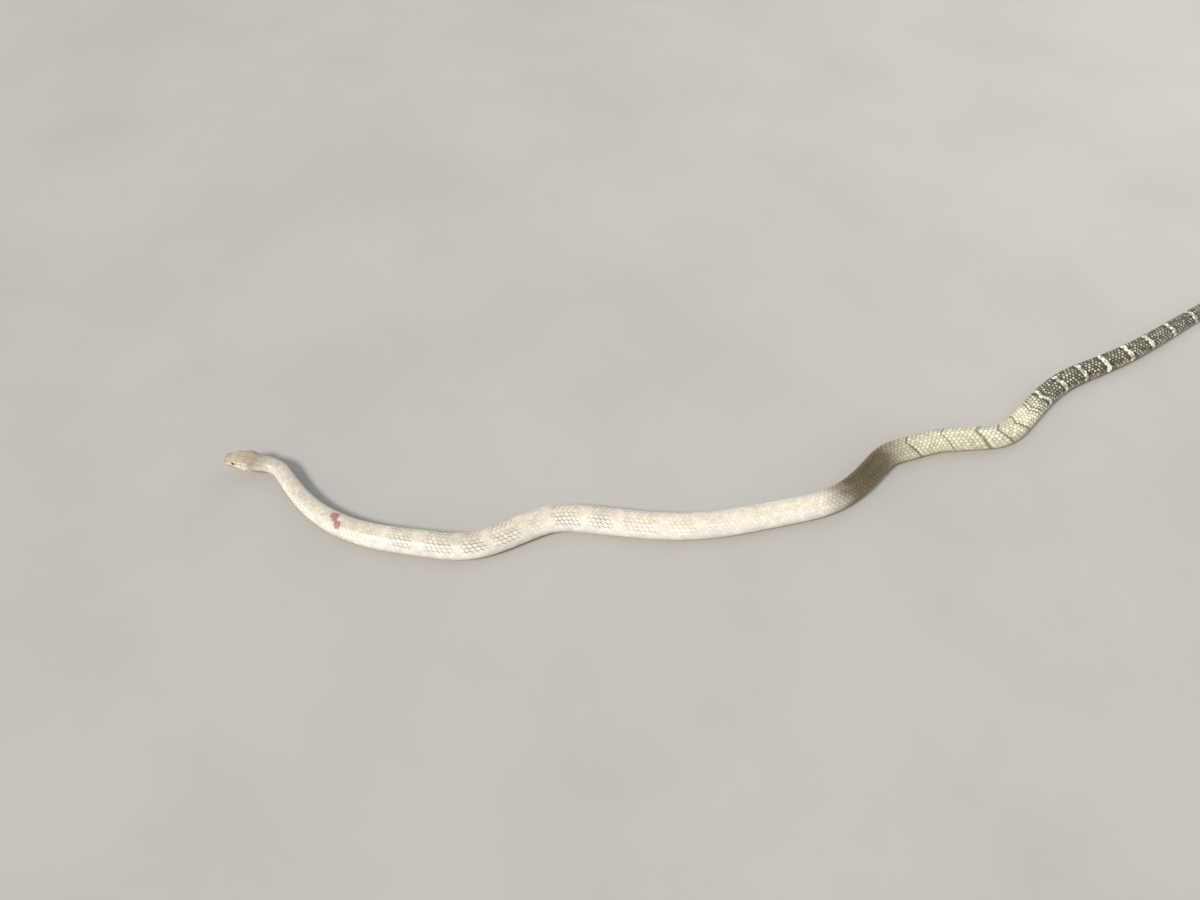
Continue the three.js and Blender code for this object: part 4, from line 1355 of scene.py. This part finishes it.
def markings():
    """The colours of the animal from snout to tail and from ridge to belly, its pale rings with their black
    edges, and how dark the seams between its scales are."""
    tints = bpy.context.scene.cobra_colours
    tree, given, shown = group(
        "Cobra markings",
        {name: "Float" for name in CARRIED},
        {"Colour": "Color", "Seam": "Float", "Hatch": "Float"},
    )
    along = sums(tree, "ADD", given["Along"], scaled(tree, noise(tree, 14.0), 0.016, -0.008))
    aside, below = (ease(tree, given["Round"], *fade) for fade in (SIDE_FADE, BELLY_FADE))
    tone = mix(tree, aside, coloured(tree, along, RIDGE_RUN), coloured(tree, along, SIDE_RUN))
    tone = mix(tree, below, tone, coloured(tree, along, BELLY_RUN))
    tone = mix(tree, given["Crown"], tone, (*tints.crown, 1))

    above = scaled(tree, below, -0.6, 1.0)
    beside = sums(tree, "ADD", given["Beside"], scaled(tree, noise(tree, 160.0, 2.0), 0.4, -0.2))
    inside = ease(tree, beside, 0.1, -0.1)
    edge = times(tree, ease(tree, beside, EDGE_END, EDGE_FULL), sums(tree, "SUBTRACT", 1.0, inside))
    pale = times(tree, given["Pale"], inside, above)
    tone = mix(tree, pale, tone, (*tints.ring, 1))
    tone = mix(tree, times(tree, given["Ink"], edge, above, 0.9), tone, (*RING_EDGE, 1))

    differing = sums(tree, "SUBTRACT", given["Chance"], 0.5)
    cloud = scaled(tree, noise(tree, 30.0, 4.0), 0.34, 0.83)
    # Scales differ at random, and in the rear third some are made much lighter as painted glints
    tone = shaded(tree, tone, times(tree, scaled(tree, differing, ramp(tree, along, VARIED_AND_GLINT_RUN), 1.0), cloud))
    # Painted shade inside the nostrils, at the eyes' openings and on the rims round them
    tone = mix(tree, times(tree, given["Shade"], 0.94), tone, (*DARK_INSIDE, 1))

    lower = ease(tree, given["Round"], 1.25, 0.55, 0.35, 1.0)
    seam = times(tree, ramp(tree, along, SEAM_RUN), lower, scaled(tree, pale, -0.55, 1.0))
    upper = ease(tree, given["Round"], 0.0, 0.24, 0.45, 1.0)
    hatch = times(tree, given["Hatch"], ease(tree, given["Round"], 0.86, 0.6), upper)
    finish(tree, shown, Colour=tone, Seam=seam, Hatch=hatch)
    return tree


def scale_finish():
    """How one scale is shaded: dark along its seams and under the scale before it, with dark lines where it
    is hatched, fine mottling and a worn, slightly duller rim."""
    tree, given, shown = group(
        "Scale finish",
        {"Colour": "Color"} | {name: "Float" for name in ("Seam", "Hatch", "Along", "Tip", "Rim", "Upper")},
        {"Colour": "Color", "Roughness": "Float", "Height": "Float"},
    )
    spread = ease(tree, given["Along"], 0.59, 0.63, 0.7, 0.46)
    rim = ease(tree, sums(tree, "SUBTRACT", given["Rim"], spread), 0.0, 0.3)
    root = ease(tree, given["Tip"], 0.66, 0.42)
    seam = times(tree, sums(tree, "MAXIMUM", rim, root), given["Seam"])
    line = times(tree, ease(tree, given["Rim"], 0.7, 0.86), ease(tree, given["Upper"], 0.05, 0.3))
    line = sums(tree, "MAXIMUM", line, ease(tree, given["Tip"], 0.58, 0.46, 0.0, 0.45))
    seam = sums(tree, "MAXIMUM", seam, times(tree, line, 0.88, given["Hatch"]))
    tone = mix(tree, seam, given["Colour"], ramp(tree, given["Along"], DARK_RUN))
    grain, fine = noise(tree, 900.0, 3.0, 0.6), noise(tree, 260.0, 4.0, 0.6)
    tone = shaded(tree, tone, scaled(tree, fine, 0.26, 0.87))
    rough = sums(tree, "ADD", scaled(tree, grain, 0.14, 0.31), times(tree, rim, 0.14))
    height = sums(tree, "ADD", times(tree, grain, 0.35), times(tree, fine, 0.65))
    finish(tree, shown, Colour=tone, Roughness=rough, Height=height)
    return tree


def shared(name, build):
    """A node group that several materials use, made the first time."""
    return bpy.data.node_groups.get(name) or build()


def plain(tree, shader, tone, roughness, specular=0.5):
    """A finish of one roughness."""
    tree.links.new(tone, shader.inputs["Base Color"])
    shader.inputs["Roughness"].default_value = roughness
    shader.inputs["Specular IOR Level"].default_value = specular


def dressed(tree, shader, change=None, grain=0.00012):
    """Markings and scale finish on the values that a piece carries, with a change of the colour where the
    piece has one. The grain is in metres."""
    carried = {name: value_of(tree, name.lower()) for name in CARRIED}
    shape = {name: value_of(tree, name.lower()) for name in ("Tip", "Rim", "Upper")}
    shown = use(tree, shared("Cobra markings", markings), **carried)
    shape |= {name: shown[name] for name in ("Colour", "Seam", "Hatch")}
    worn = use(tree, shared("Scale finish", scale_finish), Along=carried["Along"], **shape)
    tone = change(tree, worn["Colour"]) if change else worn["Colour"]
    tree.links.new(tone, shader.inputs["Base Color"])
    tree.links.new(worn["Roughness"], shader.inputs["Roughness"])
    tree.links.new(bump(tree, worn["Height"], 0.5, grain), shader.inputs["Normal"])
    for name, value in (("Specular IOR Level", 0.45), ("Coat Weight", 0.12), ("Coat Roughness", 0.28)):
        shader.inputs[name].default_value = value


def lined(tree, tone):
    """Flesh with faint veins where the skin lines the mouth."""
    tints = bpy.context.scene.cobra_colours
    veins = ease(tree, noise(tree, 420.0, 4.0), 0.42, 0.66)
    flesh = mix(tree, times(tree, veins, 0.4), (*tints.mouth, 1), (*lit(tints.mouth, 0.6), 1))
    return mix(tree, value_of(tree, "inside"), tone, flesh)


def grazed(tree, tone):
    """Raw spots with ragged edges on the back."""
    tints = bpy.context.scene.cobra_colours
    spot = add(tree, "ShaderNodeTexCoord").outputs["Object"]
    ragged = scaled(tree, noise(tree, 170.0, 5.0, 0.75), 1.8, -0.9)
    for middle, reach in GRAZES:
        inputs = {0: spot, 1: tuple(placed(np.array(middle, float)))}
        away = add(tree, "ShaderNodeVectorMath", inputs, operation="DISTANCE").outputs["Value"]
        away = sums(tree, "ADD", sums(tree, "DIVIDE", away, reach), ragged)
        sore = mix(tree, noise(tree, 420.0, 3.0), (*tints.graze, 1), (*lit(tints.mouth, 0.7), 1))
        tone = mix(tree, ease(tree, away, 1.15, 0.75, 0.0, 0.88), tone, sore)
    return tone


def skin_material(tree, shader):
    """Skin and shields, with the lining of the mouth."""
    dressed(tree, shader, lined, 0.0001)


def scales_material(tree, shader):
    """Scales of the back and flanks, with the graze."""
    dressed(tree, shader, grazed)


def eye_material(tree, shader):
    """A wet black pupil in a narrow rayed iris, by the angle from the line of sight."""
    black, iris = (0.004, 0.003, 0.003), bpy.context.scene.cobra_colours.iris
    rings = [(at, lit(iris, light)) for at, light in ((0.134, 2.2), (0.15, 1.1), (0.2, 0.6), (0.235, 0.15))]
    stops = [(0, black), (0.128, black), *rings, (0.26, black), (1, black)]
    tone = ramp(tree, value_of(tree, "sight"), stops)
    tone = shaded(tree, tone, scaled(tree, noise(tree, 1500.0, 3.0), 0.7, 0.6))
    plain(tree, shader, tone, 0.07, 0.55)


def fang_material(tree, shader):
    """Ivory, a little blotched."""
    plain(tree, shader, mix(tree, noise(tree, 300.0), (0.8, 0.74, 0.6, 1), (0.66, 0.58, 0.42, 1)), 0.22)


def floor_material(tree, shader):
    """Pale matt floor with faint clouds."""
    tint = bpy.context.scene.cobra_colours.floor
    cloud = ease(tree, noise(tree, 1.6, 5.0), 0.35, 0.7)
    plain(tree, shader, mix(tree, cloud, (*tint, 1), (*lit(tint, 0.93), 1)), 0.75)


MATERIALS = {
    "Cobra skin": skin_material,
    "Cobra scales": scales_material,
    "Cobra scutes": dressed,
    "Cobra eye": eye_material,
    "Cobra fangs": fang_material,
    "Pale floor": floor_material,
}


def material_of(name):
    """A material by its name, made the first time."""
    made = bpy.data.materials.get(name)
    if made is None:
        made = bpy.data.materials.new(name)
        made.use_nodes = True
        MATERIALS[name](made.node_tree, made.node_tree.nodes["Principled BSDF"])
    return made


# Operators


class COBRA_OT_skin(bpy.types.Operator):
    """One closed skin over head, jaw, neck, torso and tail, with the shields of the head"""

    bl_idname = "cobra.make_skin"
    bl_label = "Skin and head shields"

    def execute(self, context):
        surface = Surface()
        chance = np.random.default_rng(7)
        add_skin(surface)
        add_head_shields(surface, chance)
        add_throat(surface, chance)
        add_rims(surface)
        skin = surface.piece("skin", material_of("Cobra skin"))
        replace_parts(skin, *FLESH)
        return {"FINISHED"}


class COBRA_OT_scales(bpy.types.Operator):
    """Overlapping scales in rows along the back and flanks, a few rows to a piece"""

    bl_idname = "cobra.make_scales"
    bl_label = "Scale rows"

    def execute(self, context):
        bands = {
            "scales_right_low": range(-9, -4),
            "scales_right": range(-4, -1),
            "scales_ridge": range(-1, 2),
            "scales_left": range(2, 5),
            "scales_left_low": range(5, 10),
        }
        for number, (name, rows) in enumerate(bands.items()):
            surface = Surface()
            add_scales(surface, list(rows), np.random.default_rng(20 + number))
            surface.piece(name, material_of("Cobra scales"))
        return {"FINISHED"}


class COBRA_OT_scutes(bpy.types.Operator):
    """Broad scutes under the belly and paired ones under the tail"""

    bl_idname = "cobra.make_scutes"
    bl_label = "Belly scutes"

    def execute(self, context):
        surface = Surface()
        add_belly(surface, np.random.default_rng(40))
        surface.piece("belly_scutes", material_of("Cobra scutes"))
        return {"FINISHED"}


class COBRA_OT_eyes(bpy.types.Operator):
    """Two lidless eyes with round pupils"""

    bl_idname = "cobra.make_eyes"
    bl_label = "Eyes"

    def execute(self, context):
        for name, left, node in (("eyeball_left", 1, "eye_left"), ("eyeball_right", -1, "eye_right")):
            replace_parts(eye(name, left, material_of("Cobra eye")), node)
        return {"FINISHED"}


class COBRA_OT_fangs(bpy.types.Operator):
    """Two short fixed fangs"""

    bl_idname = "cobra.make_fangs"
    bl_label = "Fangs"

    def execute(self, context):
        surface = Surface()
        add_fangs(surface)
        surface.piece("fangs", material_of("Cobra fangs"))
        return {"FINISHED"}


FLOOR_REACH, FLOOR_DROP = 9.0, 0.0004  # half the floor's side, and how far it lies under the belly, in metres
KEY_FROM, KEY_TINT, KEY_SPREAD = (-2.2, -2.0, 3.2), (1.0, 0.97, 0.92), math.radians(14)
FILL_FROM, FILL_TINT, FILL_SIZE = (2.6, 1.8, 2.4), (0.9, 0.95, 1.0), 3.0
SKY_TINT, SKY_STRENGTH = (0.86, 0.9, 1.0, 1), 0.62


def lamp(name, kind, place, power, tint, **shape):
    """A light that looks at the middle of the view. Its place is given from there."""
    light = bpy.data.lights.new(name, kind)
    light.energy, light.color = power, tint
    for key, value in shape.items():
        setattr(light, key, value)
    thing = put(name, light)
    thing.location = np.array(bpy.context.scene.cobra_stage.middle) + place
    steep, turn = math.atan2(math.hypot(*place[:2]), place[2]), math.atan2(place[1], place[0])
    thing.rotation_euler = (steep, 0, turn + math.pi / 2)


class COBRA_OT_stage(bpy.types.Operator):
    """Pale floor, soft lights and the camera"""

    bl_idname = "cobra.make_stage"
    bl_label = "Stage"

    def execute(self, context):
        stage = context.scene.cobra_stage
        mesh = bpy.data.meshes.new("floor")
        sides = (-FLOOR_REACH, FLOOR_REACH)
        mesh.from_pydata([(x, y, -FLOOR_DROP) for x in sides for y in sides], [], [(0, 2, 3, 1)])
        mesh.materials.append(material_of("Pale floor"))
        put("floor", mesh)

        lamp("key", "SUN", KEY_FROM, stage.key, KEY_TINT, angle=KEY_SPREAD)
        lamp("fill", "AREA", FILL_FROM, stage.fill, FILL_TINT, size=FILL_SIZE)
        world = bpy.data.worlds.new("studio")
        world.use_nodes = True
        sky = world.node_tree.nodes["Background"].inputs
        sky["Color"].default_value, sky["Strength"].default_value = SKY_TINT, SKY_STRENGTH
        context.scene.world = world
        context.scene.view_settings.view_transform = "Standard"

        lens = bpy.data.cameras.new("camera")
        lens.lens, lens.sensor_width, lens.sensor_fit = stage.lens, 36, "HORIZONTAL"
        camera = put("camera", lens)
        away = np.array([0, -math.cos(stage.elevation), math.sin(stage.elevation)])
        camera.location = np.array(stage.middle) + stage.distance * away
        camera.rotation_euler = (math.pi / 2 - stage.elevation, 0, 0)
        context.scene.camera = camera
        return {"FINISHED"}


class COBRA_PT_panel(bpy.types.Panel):
    """All steps and settings of the cobra"""

    bl_label = "King cobra"
    bl_idname = "COBRA_PT_panel"
    bl_space_type = "VIEW_3D"
    bl_region_type = "UI"
    bl_category = "Cobra"

    def draw(self, context):
        for group_name, settings in SETTINGS.items():
            box = self.layout.box()
            for name in settings.__annotations__:
                box.prop(getattr(context.scene, group_name), name)
        for step in STEPS_IN_ORDER:
            self.layout.operator(step.bl_idname)


SETTINGS = {
    "cobra_skin": CobraSkin,
    "cobra_scales": CobraScales,
    "cobra_colours": CobraColours,
    "cobra_stage": CobraStage,
}
STEPS_IN_ORDER = (
    COBRA_OT_skin,
    COBRA_OT_scales,
    COBRA_OT_scutes,
    COBRA_OT_eyes,
    COBRA_OT_fangs,
    COBRA_OT_stage,
)


def register():
    """Adds the settings, the steps and the panel to Blender."""
    for made in (*SETTINGS.values(), *STEPS_IN_ORDER, COBRA_PT_panel):
        bpy.utils.register_class(made)
    for name, settings in SETTINGS.items():
        setattr(bpy.types.Scene, name, bpy.props.PointerProperty(type=settings))


def unregister():
    """Takes them away again."""
    for name in SETTINGS:
        delattr(bpy.types.Scene, name)
    for made in reversed((*SETTINGS.values(), *STEPS_IN_ORDER, COBRA_PT_panel)):
        bpy.utils.unregister_class(made)


def main():
    """Takes every step in order."""
    register()
    bpy.ops.cobra.make_skin()
    bpy.ops.cobra.make_scales()
    bpy.ops.cobra.make_scutes()
    bpy.ops.cobra.make_eyes()
    bpy.ops.cobra.make_fangs()
    bpy.ops.cobra.make_stage()


if __name__ == "__main__":
    main()
